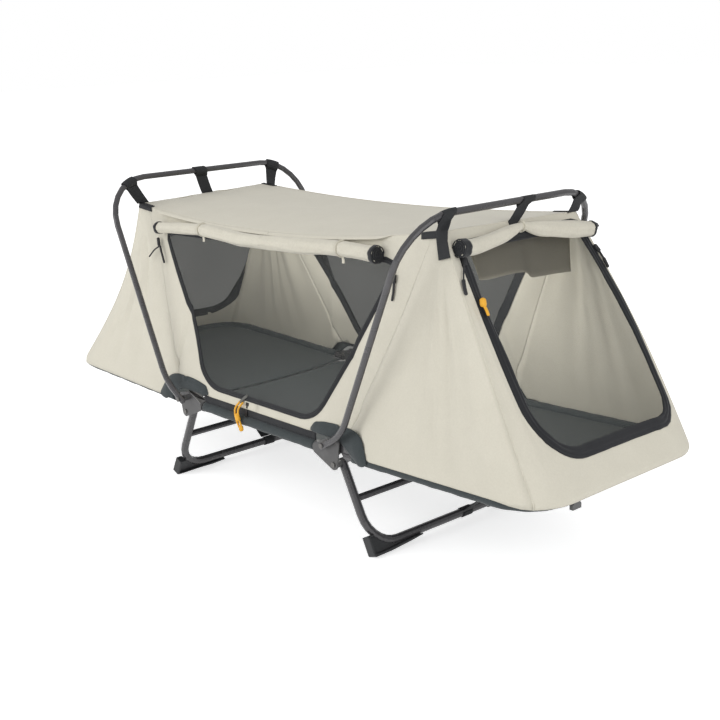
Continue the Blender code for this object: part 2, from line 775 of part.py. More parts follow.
def make_foot(end, side, axis):
    """A rubber foot: a wedge round the leg's corner with a flat sole, cut to the ground."""
    sx, sy = ENDS[end], SIDES[side]
    down = leg_direction()
    along = Vector((sx * down.x, 0, down.y))
    across = Vector((0, -sy, 0))
    normal = along.cross(across).normalized()
    origin = Vector((sx * LEG_BAR_X, sy * LEG_HALF_WIDTH, LEG_BAR_HEIGHT))
    frame = Matrix((
        (across.x, along.x, normal.x, origin.x),
        (across.y, along.y, normal.y, origin.y),
        (across.z, along.z, normal.z, origin.z),
        (0, 0, 0, 1),
    ))
    sole = -LEG_BAR_HEIGHT / down.y + FOOT_THICKNESS
    turn = math.acos(1 - FOOT_RISE / LEG_CORNER_RADIUS)
    saddle = [
        (LEG_CORNER_RADIUS * (1 - math.sin(turn * n / FOOT_STEPS)), LEG_CORNER_RADIUS * (math.cos(turn * n / FOOT_STEPS) - 1))
        for n in range(FOOT_STEPS + 1)
    ]
    outline = [
        (-FOOT_OUTSET, sole),
        (FOOT_TOE, sole),
        (FOOT_REACH, LEG_RADIUS + FOOT_SLEEVE),
        (FOOT_REACH, 0),
        *saddle,
        (-FOOT_OUTSET, -FOOT_RISE),
    ]
    foot = plate(f"foot_{side}_{end}", outline, FOOT_THICKNESS, frame)
    radii = [LEG_CORNER_RADIUS, LEG_CORNER_RADIUS]
    core = tube(f"foot_{side}_{end}_core", rounded_path(leg_corners(end), radii), LEG_RADIUS + GAP)
    big = LEG_BAR_X
    ground = box(
        f"foot_{side}_{end}_ground",
        (sx * LEG_BAR_X - big, sy * LEG_HALF_WIDTH - big, -big),
        (sx * LEG_BAR_X + big, sy * LEG_HALF_WIDTH + big, 0),
    )
    combine(foot, [core, ground], "DIFFERENCE")
    finish(foot, "rubber", axis)


def make_end_frame(end):
    """An end section's U rail with its two hinge tongues."""
    sx = ENDS[end]
    high = hinge_height(end)
    axis = pivot(f"end_{end}_axis", (sx * FOLD_X, 0, high))
    radii = [END_CORNER_RADIUS, END_CORNER_RADIUS]
    rail = tube(f"end_frame_{end}", rounded_path(end_rail_corners(end), radii), RAIL_RADIUS)
    start = FOLD_X + END_RAIL_START
    tongues, bores = [], []
    for side, sy in SIDES.items():
        outline = lobes(
            [
                (FOLD_X, high, TONGUE_LOBE),
                (start + TONGUE_LAP / 2, RAIL_HEIGHT, RAIL_RADIUS - SLIDE_GAP),
                (start + TONGUE_LAP, rail_height(start + TONGUE_LAP), RAIL_RADIUS - SLIDE_GAP),
            ]
        )
        tongues.append(
            plate(f"end_{end}_tongue_{side}", outline, TONGUE, upright(sx, sy * BED_HALF_WIDTH))
        )
        bores.append(
            cylinder(
                f"end_{end}_bore_{side}",
                PIN_RADIUS + GAP,
                (sx * FOLD_X, sy * (BED_HALF_WIDTH - TONGUE), high),
                (sx * FOLD_X, sy * (BED_HALF_WIDTH + TONGUE), high),
            )
        )
        make_pin(
            f"end_pin_{side}_{end}",
            Vector((sx * FOLD_X, 0, high)),
            sy,
            INNER_PLATE_FACE - INNER_PLATE - PIN_HEAD / 2 - GAP,
            OUTER_PLATE_FACE + OUTER_PLATE - GAP,
            True,
            False,
            axis,
        )
    combine(rail, tongues, "UNION")
    combine(rail, bores, "DIFFERENCE")
    finish(rail, "frame", axis)
    return axis


def deck_height(x, y):
    """The middle surface of the bed cloth, which sags a little between the rails."""
    return rail_height(x) - DECK_SAG * (1 - (y / BED_HALF_WIDTH) ** 2)


def make_middle_deck():
    """The bed cloth of the middle section, sewn into a sleeve round each rail."""
    reach = FOLD_X - DECK_FOLD_GAP
    sleeve_reach = SOCKET_INNER_X - SLIDE_GAP
    inner = BED_HALF_WIDTH - DECK_SIDE_GAP
    lap = DECK_THICKNESS

    def place(u, v):
        return Vector((u * reach, v * BED_HALF_WIDTH, deck_height(0, v * BED_HALF_WIDTH)))

    deck = sheet("middle_deck", place, 2, 12, DECK_THICKNESS)
    sleeve_radius = RAIL_RADIUS + GAP + SLEEVE_WALL
    notches, sleeves, bores = [], [], []
    for side, sy in SIDES.items():
        y = sy * BED_HALF_WIDTH
        for end, sx in ENDS.items():
            corners = [(sx * (sleeve_reach - lap), sy * inner), (sx * FOLD_X, sy * (BED_HALF_WIDTH + lap))]
            xs, ys = zip(*corners)
            notches.append(
                box(f"middle_deck_notch_{side}_{end}", (min(xs), min(ys), 0), (max(xs), max(ys), HOOP_TOP))
            )
        sleeve_ends = [(-sleeve_reach, y, RAIL_HEIGHT), (sleeve_reach, y, RAIL_HEIGHT)]
        sleeves.append(cylinder(f"middle_deck_sleeve_{side}", sleeve_radius, *sleeve_ends))
        bore_ends = [(-SOCKET_OUTER_X, y, RAIL_HEIGHT), (SOCKET_OUTER_X, y, RAIL_HEIGHT)]
        bores.append(cylinder(f"middle_deck_bore_{side}", RAIL_RADIUS + GAP, *bore_ends))
    combine(deck, notches, "DIFFERENCE")
    combine(baked(deck), sleeves, "UNION")
    combine(baked(deck), bores, "DIFFERENCE")
    finish(deck, "bed_cloth")


def make_end_deck(end, axis):
    """The bed cloth of an end section, sewn into a sleeve round its U rail."""
    sx = ENDS[end]
    start = FOLD_X + DECK_FOLD_GAP
    inner = BED_HALF_WIDTH - DECK_SIDE_GAP
    sleeve_start = FOLD_X + END_RAIL_START + TONGUE_LAP + RAIL_RADIUS
    lap = DECK_THICKNESS

    def place(u, v):
        x = mix(start, BED_HALF_LENGTH, (u + 1) / 2)
        taut = min(1.0, (BED_HALF_LENGTH - x) / END_CORNER_RADIUS)
        sag = DECK_SAG * taut * (1 - v * v)
        return Vector((sx * x, v * BED_HALF_WIDTH, rail_height(x) - sag))

    deck = sheet(f"end_deck_{end}", place, 8, 12, DECK_THICKNESS)
    sharp = end_rail_corners(end)
    radii = [END_CORNER_RADIUS, END_CORNER_RADIUS]
    flat = [(abs(corner[0]), corner[1], 0) for corner in sharp]
    outline = [(p.x, p.y) for p in rounded_path(flat, radii)][1:-1]
    outline = [
        (0, -inner),
        (sleeve_start + lap, -inner),
        (sleeve_start + lap, -BED_HALF_WIDTH),
        *outline,
        (sleeve_start + lap, BED_HALF_WIDTH),
        (sleeve_start + lap, inner),
        (0, inner),
    ]
    shape = plate(f"end_deck_{end}_shape", [(sx * x, y) for x, y in outline], HOOP_TOP)
    run = [Vector(corner) for corner in sharp]
    offset = sleeve_start - FOLD_X - END_RAIL_START
    run[0] = run[0] + (run[1] - run[0]).normalized() * offset
    run[-1] = run[-1] + (run[-2] - run[-1]).normalized() * offset
    sleeve_radius = RAIL_RADIUS + GAP + SLEEVE_WALL
    sleeve = tube(f"end_deck_{end}_sleeve", rounded_path(run, radii), sleeve_radius)
    core = tube(f"end_deck_{end}_core", rounded_path(sharp, radii), RAIL_RADIUS + GAP)
    combine(deck, [shape], "INTERSECT")
    combine(baked(deck), [sleeve], "UNION")
    combine(baked(deck), [core], "DIFFERENCE")
    finish(deck, "bed_cloth", axis)


def roof_height(u, v):
    """The height of the roof for u along and v across, each from -1 to 1."""
    left = mix(ROOF_CORNER_HEIGHTS["left", "near"], ROOF_CORNER_HEIGHTS["left", "far"], (v + 1) / 2)
    right = mix(ROOF_CORNER_HEIGHTS["right", "near"], ROOF_CORNER_HEIGHTS["right", "far"], (v + 1) / 2)
    edge_sag = ROOF_NEAR_SAG if v < 0 else ROOF_FAR_SAG
    return mix(left, right, (u + 1) / 2) - (1 - u * u) * mix(ROOF_SAG, edge_sag, v * v)


def roof_place(u, v):
    """A point of the roof: its ends draw in a little between the straps."""
    x = u * (ROOF_HALF_LENGTH - ROOF_END_DRAW * (1 - v * v) * u * u)
    return Vector((x, v * ROOF_HALF_WIDTH, roof_height(u, v)))


def corner_arc(turn):
    """A point on the rail's rounded corner, as distances along and across the bed; turn 0 is its side end."""
    centre_x, centre_y = BED_HALF_LENGTH - END_CORNER_RADIUS, BED_HALF_WIDTH - END_CORNER_RADIUS
    return centre_x + END_CORNER_RADIUS * math.sin(turn), centre_y + END_CORNER_RADIUS * math.cos(turn)


def side_hem(u, side):
    """The lower edge of a side wall, on top of the rails, from mid-corner to mid-corner."""
    straight = BED_HALF_LENGTH - END_CORNER_RADIUS
    arc = END_CORNER_RADIUS * math.pi / 4
    run = abs(u) * (straight + arc)
    if run <= straight:
        x, y = run, BED_HALF_WIDTH
    else:
        x, y = corner_arc((run - straight) / END_CORNER_RADIUS)
    lift = RAIL_RADIUS + GAP + SLEEVE_WALL + SKIRT_STANDOFF
    return Vector((math.copysign(x, u), SIDES[side] * y, rail_height(x) + lift))


def end_hem(v, end):
    """The lower edge of an end wall, turned over the end rail's outer side between its corners."""
    straight = BED_HALF_WIDTH - END_CORNER_RADIUS
    arc = END_CORNER_RADIUS * math.pi / 4
    run = abs(v) * (straight + arc)
    if run <= straight:
        x, y, facing = BED_HALF_LENGTH, run, Vector((1, 0))
    else:
        turn = math.pi / 2 - (run - straight) / END_CORNER_RADIUS
        x, y = corner_arc(turn)
        facing = Vector((math.sin(turn), math.cos(turn)))
    reach = RAIL_RADIUS + GAP + SLEEVE_WALL + SKIRT_STANDOFF
    tilt = SKIRT_TURN * (1 - v**6)
    out, up = reach * math.sin(tilt), reach * math.cos(tilt)
    x, y = x + facing.x * out, y + facing.y * out
    return Vector((ENDS[end] * x, math.copysign(y, v), rail_height(x) + up))


def side_wall_place(side):
    """The surface of a side wall: u along the bed, v from the hem up to the roof."""

    def place(u, v):
        top = roof_place(u, SIDES[side])
        low = side_hem(u, side)
        rise = (v + 1) / 2
        reach = (top - low).length
        rise = rise * (1 - WALL_TOP_GAP / reach)
        draw = WALL_DRAW * math.sin(math.pi * rise) * (1 - u**8)
        point = low.lerp(top, rise)
        return point - Vector((0, SIDES[side] * draw, 0))

    return place


def end_wall_place(end):
    """The surface of an end wall: u across the bed, v from the hem up to the roof."""

    def place(u, v):
        top = roof_place(ENDS[end], u)
        low = end_hem(u, end)
        reach = (top - low).length
        rise = (v + 1) / 2 * (1 - WALL_TOP_GAP / reach)
        draw = WALL_DRAW * math.sin(math.pi * rise) * (1 - u**8)
        point = low.lerp(top, rise)
        return point - Vector((ENDS[end] * draw, 0, 0))

    return place


def make_roof():
    """The roof panel between the hoops."""
    finish(sheet("roof_panel", roof_place, 20, 8), "tent_cloth")


def upright_prism(name, outline, frame, depth):
    """A cutter: an outline swept a long way both ways."""
    return plate(name, outline, depth, frame)


def make_side(side):
    """A side wall with its mesh door, and the empty on the bottom edge that the door drops open about."""
    sy = SIDES[side]
    place = side_wall_place(side)
    trim = SEAM_GAP / BED_HALF_LENGTH

    def panel(u, v):
        return place(u * (1 - trim), v)

    wall = sheet(f"side_wall_{side}", panel, 30, 10)
    door = wall.copy()
    door.data = wall.data.copy()
    door.name = f"side_door_mesh_{side}"
    TOOLS.objects.link(door)
    frame = upright(1, sy * BED_HALF_WIDTH)
    opening = rounded_outline(DOOR_CORNERS, DOOR_RADII)
    inner_radii = [radius - min(radius / 2, DOOR_EDGE_GAP) for radius in DOOR_RADII]
    leaf = rounded_outline(inset(DOOR_CORNERS, DOOR_EDGE_GAP), inner_radii)
    depth = BED_HALF_WIDTH
    cuts = [upright_prism(f"side_wall_{side}_opening", opening, frame, depth)]
    for end, sx in ENDS.items():
        low = (min(sx * KNUCKLE_NOTCH[0], sx * KNUCKLE_NOTCH[1]), -BED_HALF_WIDTH - depth, 0)
        high = (max(sx * KNUCKLE_NOTCH[0], sx * KNUCKLE_NOTCH[1]), BED_HALF_WIDTH + depth, KNUCKLE_NOTCH_HEIGHT)
        cuts.append(box(f"side_wall_{side}_notch_{end}", low, high))
    finish(combine(wall, cuts, "DIFFERENCE"), "tent_cloth")
    combine(door, [upright_prism(f"side_door_{side}_edge", leaf, frame, depth)], "INTERSECT")
    left, _ = find_on(place, 0, *DOOR_CORNERS[1])
    right, _ = find_on(place, 0, *DOOR_CORNERS[2])
    finish(door, "mesh", pivot(f"side_door_{side}_axis", (left + right) / 2))


def find_on(place, axis, along, height):
    """A wall's middle surface at a given height and x (axis 0) or y (axis 1): the point and the way it faces."""
    u, v = 0.0, 0.0
    step = GAP
    for _ in range(SEARCH_STEPS):
        here = place(u, v)
        miss = Vector((along - here[axis], height - here.z))
        by_u = (place(u + step, v) - here) / step
        by_v = (place(u, v + step) - here) / step
        slopes = Matrix(((by_u[axis], by_v[axis]), (by_u.z, by_v.z)))
        move = slopes.inverted() @ miss
        u, v = max(-1, min(1, u + move.x)), max(-1, min(1, v + move.y))
    here = place(u, v)
    facing = by_u.cross(by_v).normalized()
    return here, facing if facing.dot(Vector((here.x, here.y, 0))) > 0 else -facing


def window_corners(end):
    """The corners of an end's window, whose top follows that end's roof."""
    drop = WINDOW_TOP_DROPS[end]
    top = max(z for _, z in WINDOW_CORNERS)
    return [(y, z - drop if z == top else z) for y, z in WINDOW_CORNERS]


def make_end_wall(end, hoop_axis):
    """An end wall with the mesh window sewn into it."""
    sx = ENDS[end]
    place = end_wall_place(end)
    trim = SEAM_GAP / BED_HALF_WIDTH

    def panel(u, v):
        return place(u * (1 - trim), v)

    wall = sheet(f"end_wall_{end}", panel, 16, 10)
    window = wall.copy()
    window.data = wall.data.copy()
    window.name = f"end_window_mesh_{end}"
    TOOLS.objects.link(window)
    frame = Matrix(((0, 0, 1, sx * BED_HALF_LENGTH), (1, 0, 0, 0), (0, 1, 0, 0), (0, 0, 0, 1)))
    corners = window_corners(end)
    opening = rounded_outline(corners, WINDOW_RADII)
    inner_radii = [radius - min(radius / 2, DOOR_EDGE_GAP) for radius in WINDOW_RADII]
    leaf = rounded_outline(inset(corners, DOOR_EDGE_GAP), inner_radii)
    depth = BED_HALF_LENGTH
    combine(wall, [upright_prism(f"end_wall_{end}_opening", opening, frame, depth)], "DIFFERENCE")
    finish(wall, "tent_cloth", hoop_axis)
    combine(window, [upright_prism(f"end_window_{end}_edge", leaf, frame, depth)], "INTERSECT")
    finish(window, "mesh", hoop_axis)


def make_rolls(hoop_axes):
    """The four rolled-up covers, each tied above its door or window."""
    neck = [ROLL_NECK_SHARE, 1, 1, ROLL_NECK_SHARE, 1, ROLL_NECK_SHARE]
    for side in SIDES:
        place = side_wall_place(side)
        points = []
        for x, z in SIDE_ROLL_LINE:
            here, facing = find_on(place, 0, x, z)
            points.append(here + facing * (SIDE_ROLL_RADIUS + ROLL_STANDOFF))
        finish(tube(f"side_cover_roll_{side}", points, SIDE_ROLL_RADIUS), "tent_cloth")
    for end, sx in ENDS.items():
        place = end_wall_place(end)
        points = []
        for y, drop in END_ROLL_LINE:
            here, facing = find_on(place, 1, y, roof_height(sx, y / ROOF_HALF_WIDTH) - drop)
            points.append(here + facing * (END_ROLL_RADIUS + ROLL_STANDOFF))
        finish(tube(f"end_cover_roll_{end}", points, END_ROLL_RADIUS, neck), "tent_cloth", hoop_axes[end])


def hoop_span(end, y, reach):
    """The stretch of a hoop's centre line that reaches a given way to both sides of where it crosses y near its top."""
    points = hoop_path(end)
    runs = [0.0]
    for first, second in zip(points, points[1:]):
        runs.append(runs[-1] + (second - first).length)
    middle_run = 0.0
    for n, (first, second) in enumerate(zip(points, points[1:])):
        if first.y <= y < second.y and first.z > (HOOP_TOP + HOOP_PIVOT_HEIGHT) / 2:
            middle_run = mix(runs[n], runs[n + 1], (y - first.y) / (second.y - first.y))

    def at(run):
        for n, (first, second) in enumerate(zip(points, points[1:])):
            if runs[n] <= run <= runs[n + 1]:
                return first.lerp(second, (run - runs[n]) / (runs[n + 1] - runs[n]))
        return points[-1]

    low, high = middle_run - reach, middle_run + reach
    between = [p for p, run in zip(points, runs) if low + SLIDE_GAP < run < high - SLIDE_GAP]
    return [at(low), *between, at(high)], at(middle_run)


def make_hoop_straps(end, axis):
    """Three webbing straps that hang the roof's end from the hoop."""
    sx = ENDS[end]
    for where in ("near", "middle", "far"):
        name = f"hoop_strap_{where}_{end}"
        y = STRAP_BAR_PLACES[end, where]
        span, bar = hoop_span(end, y, STRAP_WIDTH / 2)
        longer, _ = hoop_span(end, y, STRAP_WIDTH)
        loop = tube(name, span, HOOP_RADIUS + STRAP_EASE + WEBBING)
        edge = roof_place(sx, STRAP_ROOF_PLACES[where] / ROOF_HALF_WIDTH)
        hang = (edge - bar).normalized()
        face = Vector((sx, 0, 0))
        half = (span[-1] - span[0]) / 2
        across = Vector((0, STRAP_WIDTH / 2, 0))
        low = edge + Vector((sx * (CLOTH / 2 + WEBBING / 2 + GAP), 0, 0))
        tail = strip(f"{name}_tail", [(bar + hang * HOOP_RADIUS, half, face), (low, across, face)], WEBBING)
        bore = tube(f"{name}_bore", longer, HOOP_RADIUS + STRAP_EASE)
        combine(loop, [tail], "UNION")
        combine(baked(loop), [bore], "DIFFERENCE")
        finish(loop, "webbing", axis)


def make_leg_strap(end, axis):
    """The webbing that ties a leg's ground bar to the end section's bed cloth."""
    sx = ENDS[end]
    name = f"leg_strap_{end}"
    bar = Vector((sx * LEG_BAR_X, LEG_STRAP_Y, LEG_BAR_HEIGHT))
    half = Vector((0, LEG_STRAP_WIDTH / 2, 0))
    loop = cylinder(name, LEG_RADIUS + GAP + WEBBING, bar - half, bar + half)
    top = Vector((
        sx * LEG_STRAP_END_X,
        LEG_STRAP_Y,
        deck_height(LEG_STRAP_END_X, LEG_STRAP_Y) - DECK_THICKNESS / 2 - WEBBING,
    ))
    rise = (top - bar).normalized()
    face = rise.cross(Vector((0, 1, 0)))
    tail = strip(f"{name}_tail", [(bar + rise * LEG_RADIUS, half, face), (top, half, face)], WEBBING)
    bore = cylinder(f"{name}_bore", LEG_RADIUS + GAP, bar - half * 2, bar + half * 2)
    combine(loop, [tail], "UNION")
    combine(loop, [bore], "DIFFERENCE")
    finish(loop, "webbing", axis)


def make_gusset(end, side):
    """The cloth flap that covers a knuckle from the canopy's side."""
    sx, sy = ENDS[end], SIDES[side]
    low = RAIL_HEIGHT + RAIL_RADIUS + GAP + SLEEVE_WALL + SLIDE_GAP
    outline = []
    for n in range(ROUND_SIDES + 1):
        turn = math.pi * n / ROUND_SIDES
        x = GUSSET_CENTRE_X + GUSSET_HALF_LENGTH * math.cos(turn)
        rise = rail_height(x) - RAIL_HEIGHT
        outline.append((x, low + rise + GUSSET_HEIGHT * math.sin(turn) ** 0.7))
    name = f"gusset_{side}_{end}"
    flap = plate(name, outline, GUSSET_THICKNESS, upright(sx, sy * (GUSSET_FACE + GUSSET_THICKNESS / 2)))
    high = hinge_height(end)
    bore = cylinder(
        f"{name}_bore",
        GUSSET_BORE,
        (sx * FOLD_X, sy * (GUSSET_FACE - OVERRUN), high),
        (sx * FOLD_X, sy * (GUSSET_FACE + GUSSET_THICKNESS + OVERRUN), high),
    )
    combine(flap, [bore], "DIFFERENCE")
    finish(flap, "bed_cloth")


def make_slider(name, place, facing, down):
    """A zip slider on the cloth at a place, with its pull hanging down the cloth."""
    width, depth, height = SLIDER_SIZE
    out = facing.normalized()
    across = out.cross(Vector(down)).normalized()
    down = across.cross(out)
    frame = Matrix((
        (across.x, out.x, -down.x, place.x),
        (across.y, out.y, -down.y, place.y),
        (across.z, out.z, -down.z, place.z),
        (0, 0, 0, 1),
    ))
    base = CLOTH / 2 + SLIDER_GAP
    body = box(name, (-width / 2, base, -height / 2), (width / 2, base + depth, height / 2))
    outer = base + depth - GAP
    tab = box(
        f"{name}_pull",
        (-PULL_WIDTH / 2, outer - PULL_THICKNESS, -height / 2 - PULL_LENGTH),
        (PULL_WIDTH / 2, outer, 0),
    )
    body.data.transform(frame)
    tab.data.transform(frame)
    combine(body, [tab], "UNION")
    finish(body, "slider", pivot(f"{name}_axis", place))


def make_sliders():
    """One zip slider for each door and window."""
    height = DOOR_CORNERS[1][1] - BORDER_WIDTH / 2
    for side in SIDES:
        here, facing = find_on(side_wall_place(side), 0, DOOR_SLIDER_X, height)
        make_slider(f"zip_slider_{side}", here, facing, (0, 0, -1))
    for end in ENDS:
        (top_y, top_z), (low_y, low_z) = window_corners(end)[:2]
        share = (top_z - WINDOW_SLIDER_HEIGHT) / (top_z - low_z)
        y = mix(top_y, low_y, share) - BORDER_WIDTH / 4
        here, facing = find_on(end_wall_place(end), 1, y, WINDOW_SLIDER_HEIGHT)
        make_slider(f"zip_slider_{end}", here, facing, (0, 0, -1))


def build():
    """Makes every piece of the tent cot."""
    make_middle_rails()
    make_middle_deck()
    make_roof()
    hoop_axes = {}
    for end in ENDS:
        hoop_axes[end] = make_hoop(end)
        make_hoop_straps(end, hoop_axes[end])
        leg_axis = make_leg(end)
        make_leg_strap(end, leg_axis)
        end_axis = make_end_frame(end)
        make_end_deck(end, end_axis)
        make_end_wall(end, hoop_axes[end])
        for side in SIDES:
            make_knuckle(end, side)
            make_gusset(end, side)
    for side in SIDES:
        make_side(side)
    make_rolls(hoop_axes)
    make_sliders()
    for thing in PARTS.objects:
        if thing.type == "MESH" and thing.name.startswith(("hoop", "leg", "middle_rail", "end_frame")):
            thing.data.shade_smooth()


build()
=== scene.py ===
"""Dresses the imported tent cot: sewn canopy, bed cloth, webbing, painted tubes and a plain studio."""

from __future__ import annotations

import json
import logging
import math
from dataclasses import dataclass, field
from enum import Enum
from functools import cache
from typing import Callable, Sequence

import bmesh
import bpy
import numpy as np
from mathutils import Matrix

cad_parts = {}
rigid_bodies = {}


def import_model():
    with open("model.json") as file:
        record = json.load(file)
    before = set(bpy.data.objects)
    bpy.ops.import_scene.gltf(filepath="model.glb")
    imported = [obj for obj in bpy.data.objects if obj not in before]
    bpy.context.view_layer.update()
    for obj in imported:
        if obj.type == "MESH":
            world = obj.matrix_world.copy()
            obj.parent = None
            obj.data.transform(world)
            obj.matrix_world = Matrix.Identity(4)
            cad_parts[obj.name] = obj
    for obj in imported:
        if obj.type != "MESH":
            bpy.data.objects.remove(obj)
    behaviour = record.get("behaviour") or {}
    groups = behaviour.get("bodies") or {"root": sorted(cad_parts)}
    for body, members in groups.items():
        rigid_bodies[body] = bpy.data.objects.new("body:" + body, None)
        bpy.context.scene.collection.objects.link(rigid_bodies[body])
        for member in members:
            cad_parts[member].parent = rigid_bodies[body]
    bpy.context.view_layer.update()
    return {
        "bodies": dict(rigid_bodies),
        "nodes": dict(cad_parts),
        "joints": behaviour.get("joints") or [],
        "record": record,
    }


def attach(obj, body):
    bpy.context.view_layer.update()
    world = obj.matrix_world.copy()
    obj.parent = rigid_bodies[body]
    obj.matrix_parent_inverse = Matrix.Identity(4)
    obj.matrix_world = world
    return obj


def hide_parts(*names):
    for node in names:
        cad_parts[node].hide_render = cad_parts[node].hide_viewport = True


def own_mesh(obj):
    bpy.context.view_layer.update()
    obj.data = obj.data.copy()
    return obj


LOG = logging.getLogger("tent_cot")
UP = (0.0, 0.0, 1.0)
WELD_DISTANCE = 1e-5
DEGENERATE_LENGTH = 1e-6
Array = np.ndarray
Point = tuple[float, float, float]


class Named(Enum):
    """A choice that node names spell in lower case."""

    @property
    def word(self) -> str:
        """The choice's name as the nodes spell it."""
        return self.name.lower()


class Side(Named):
    """The two long sides of the bed."""

    NEAR = -1
    FAR = 1


class End(Named):
    """The two ends of the bed."""

    LEFT = -1
    RIGHT = 1


@dataclass(frozen=True)
class CotSizes:
    """Sizes that several sub-assemblies share, in metres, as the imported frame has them."""

    half_length: float = 1.0675
    half_width: float = 0.341
    rail_height: float = 0.280
    rail_radius: float = 0.0125
    end_rise: float = 0.021
    corner_radius: float = 0.120
    fold_x: float = 0.375
    sleeve_radius: float = 0.0150
    hoop_bar_x: float = 0.694
    hoop_top: float = 0.960
    hoop_slope: float = 0.45995
    hoop_pivot: tuple[float, float] = (0.336, 0.303)
    hoop_radius: float = 0.0095
    hoop_corner: float = 0.150
    hoop_half_widths: tuple[float, float] = (0.3895, 0.3690)
    fold_plane: float = 0.0505
    roof_half_length: float = 0.6994
    roof_half_width: float = 0.2583

    def hoop_half_width(self, end: End) -> float:
        """Half the width of an end's hoop."""
        return self.hoop_half_widths[end is End.RIGHT]

    def hoop_x(self, z: Array) -> Array:
        """How far a hoop's legs lie from the bed's middle at a height."""
        return self.hoop_bar_x - self.hoop_slope * (self.hoop_top - z)

    def rail_z(self, x: Array) -> Array:
        """The rails' centre height: level to the fold, then rising evenly to the ends."""
        past = np.maximum(0.0, np.abs(x) - self.fold_x) / (self.half_length - self.fold_x)
        return self.rail_height + self.end_rise * past


COT = CotSizes()


# Mesh tools


def unit(vectors: Array) -> Array:
    """Vectors scaled to length one along their last axis."""
    length = np.linalg.norm(vectors, axis=-1, keepdims=True)
    return vectors / np.maximum(length, 1e-12)


def arc_length(path: Array) -> Array:
    """The distance along a polyline to each of its points."""
    return np.concatenate([[0.0], np.cumsum(np.linalg.norm(np.diff(path, axis=0), axis=1))])


def spaced(path: Array, count: int) -> Array:
    """A polyline resampled at even arc length.

    Args:
        path: Points of the line, one a row.
        count: How many points to return.

    Returns:
        The resampled points.
    """
    runs = arc_length(path)
    at = np.linspace(0.0, runs[-1], count)
    return np.stack([np.interp(at, runs, path[:, k]) for k in range(path.shape[1])], axis=1)


def eased(knots: Array, values: Array, at: Array) -> Array:
    """Values between knots that ease in and out of each one, so that a line through them has no kink."""
    step = np.clip(np.searchsorted(knots, at, side="right") - 1, 0, len(knots) - 2)
    slope = np.gradient(values, knots)
    width = knots[step + 1] - knots[step]
    share = (at - knots[step]) / width
    low, high = values[step], values[step + 1]
    from_low = slope[step] * width * share * (1 - share) ** 2
    from_high = slope[step + 1] * width * share * share * (1 - share)
    return low + (high - low) * (share * share * (3 - 2 * share)) + from_low - from_high


def smooth(value: Array, low: float, high: float) -> Array:
    """A step that eases from 0 at low to 1 at high."""
    share = np.clip((np.asarray(value, float) - low) / (high - low), 0, 1)
    return share * share * (3 - 2 * share)


def rounded(corners: Sequence[Sequence[float]], radii: Sequence[float], steps: int = 16) -> Array:
    """A polyline whose inner corners are arcs tangent to both runs.

    Args:
        corners: The sharp corners, with the two ends.
        radii: A radius for each inner corner.
        steps: Arc pieces for each corner.

    Returns:
        The line's points.
    """
    points = np.array(corners, float)
    line = [points[:1]]
    for before, here, after, radius in zip(points, points[1:], points[2:], radii):
        into, away = unit(before - here), unit(after - here)
        half = math.acos(float(np.clip(into @ away, -1, 1))) / 2
        centre = here + unit(into + away) * radius / math.sin(half)
        start, end = (here + way * radius / math.tan(half) - centre for way in (into, away))
        swing = math.pi - 2 * half
        share = np.linspace(0, 1, steps + 1)[:, None]
        arc = np.sin((1 - share) * swing) * start + np.sin(share * swing) * end
        line.append(centre + arc / math.sin(swing))
    line.append(points[-1:])
    return np.concatenate(line)


def outline_loop(corners: Sequence[Sequence[float]], radii: Sequence[float], per_side: int) -> Array:
    """A closed outline in four sides that meet at the middles of its rounded corners.

    Args:
        corners: Four corners in a loop.
        radii: Their radii.
        per_side: Points for each side.

    Returns:
        Four times per_side points, each side evenly spaced and starting at a corner's middle.
    """
    points = np.array(corners, float)
    arcs: list[Array] = []
    for k, radius in enumerate(radii):
        turn = [points[k - 1], points[k], points[(k + 1) % len(points)]]
        arcs.append(rounded(turn, [radius], steps=24)[1:-1])
    sides: list[Array] = []
    for here, after in zip(arcs, arcs[1:] + arcs[:1]):
        side = np.concatenate([here[len(here) // 2 :], after[: len(after) // 2 + 1]])
        sides.append(spaced(side, per_side + 1)[:-1])
    return np.concatenate(sides)


def grid_faces(rows: int, columns: int, close_rows: bool, close_columns: bool) -> Array:
    """Quads of a grid of vertices numbered row by row."""
    i = np.arange(rows if close_rows else rows - 1)
    j = np.arange(columns if close_columns else columns - 1)
    i, j = (a.ravel() for a in np.meshgrid(i, j, indexing="ij"))
    after_i, after_j = (i + 1) % rows, (j + 1) % columns
    corners = (i * columns + j, after_i * columns + j, after_i * columns + after_j, i * columns + after_j)
    return np.stack(corners, 1)


def placed(name: str, data: bpy.types.ID) -> bpy.types.Object:
    """A new object of some data, linked to the scene."""
    thing = bpy.data.objects.new(name, data)
    bpy.context.scene.collection.objects.link(thing)
    return thing


def mended(mesh: bpy.types.Mesh, weld: bool) -> None:
    """Makes a mesh's normals agree, after merging its points that coincide if weld is set."""
    built = bmesh.new()
    built.from_mesh(mesh)
    if weld:
        bmesh.ops.remove_doubles(built, verts=built.verts, dist=WELD_DISTANCE)
        bmesh.ops.dissolve_degenerate(built, edges=built.edges, dist=DEGENERATE_LENGTH)
    bmesh.ops.recalc_face_normals(built, faces=built.faces)
    built.to_mesh(mesh)
    built.free()


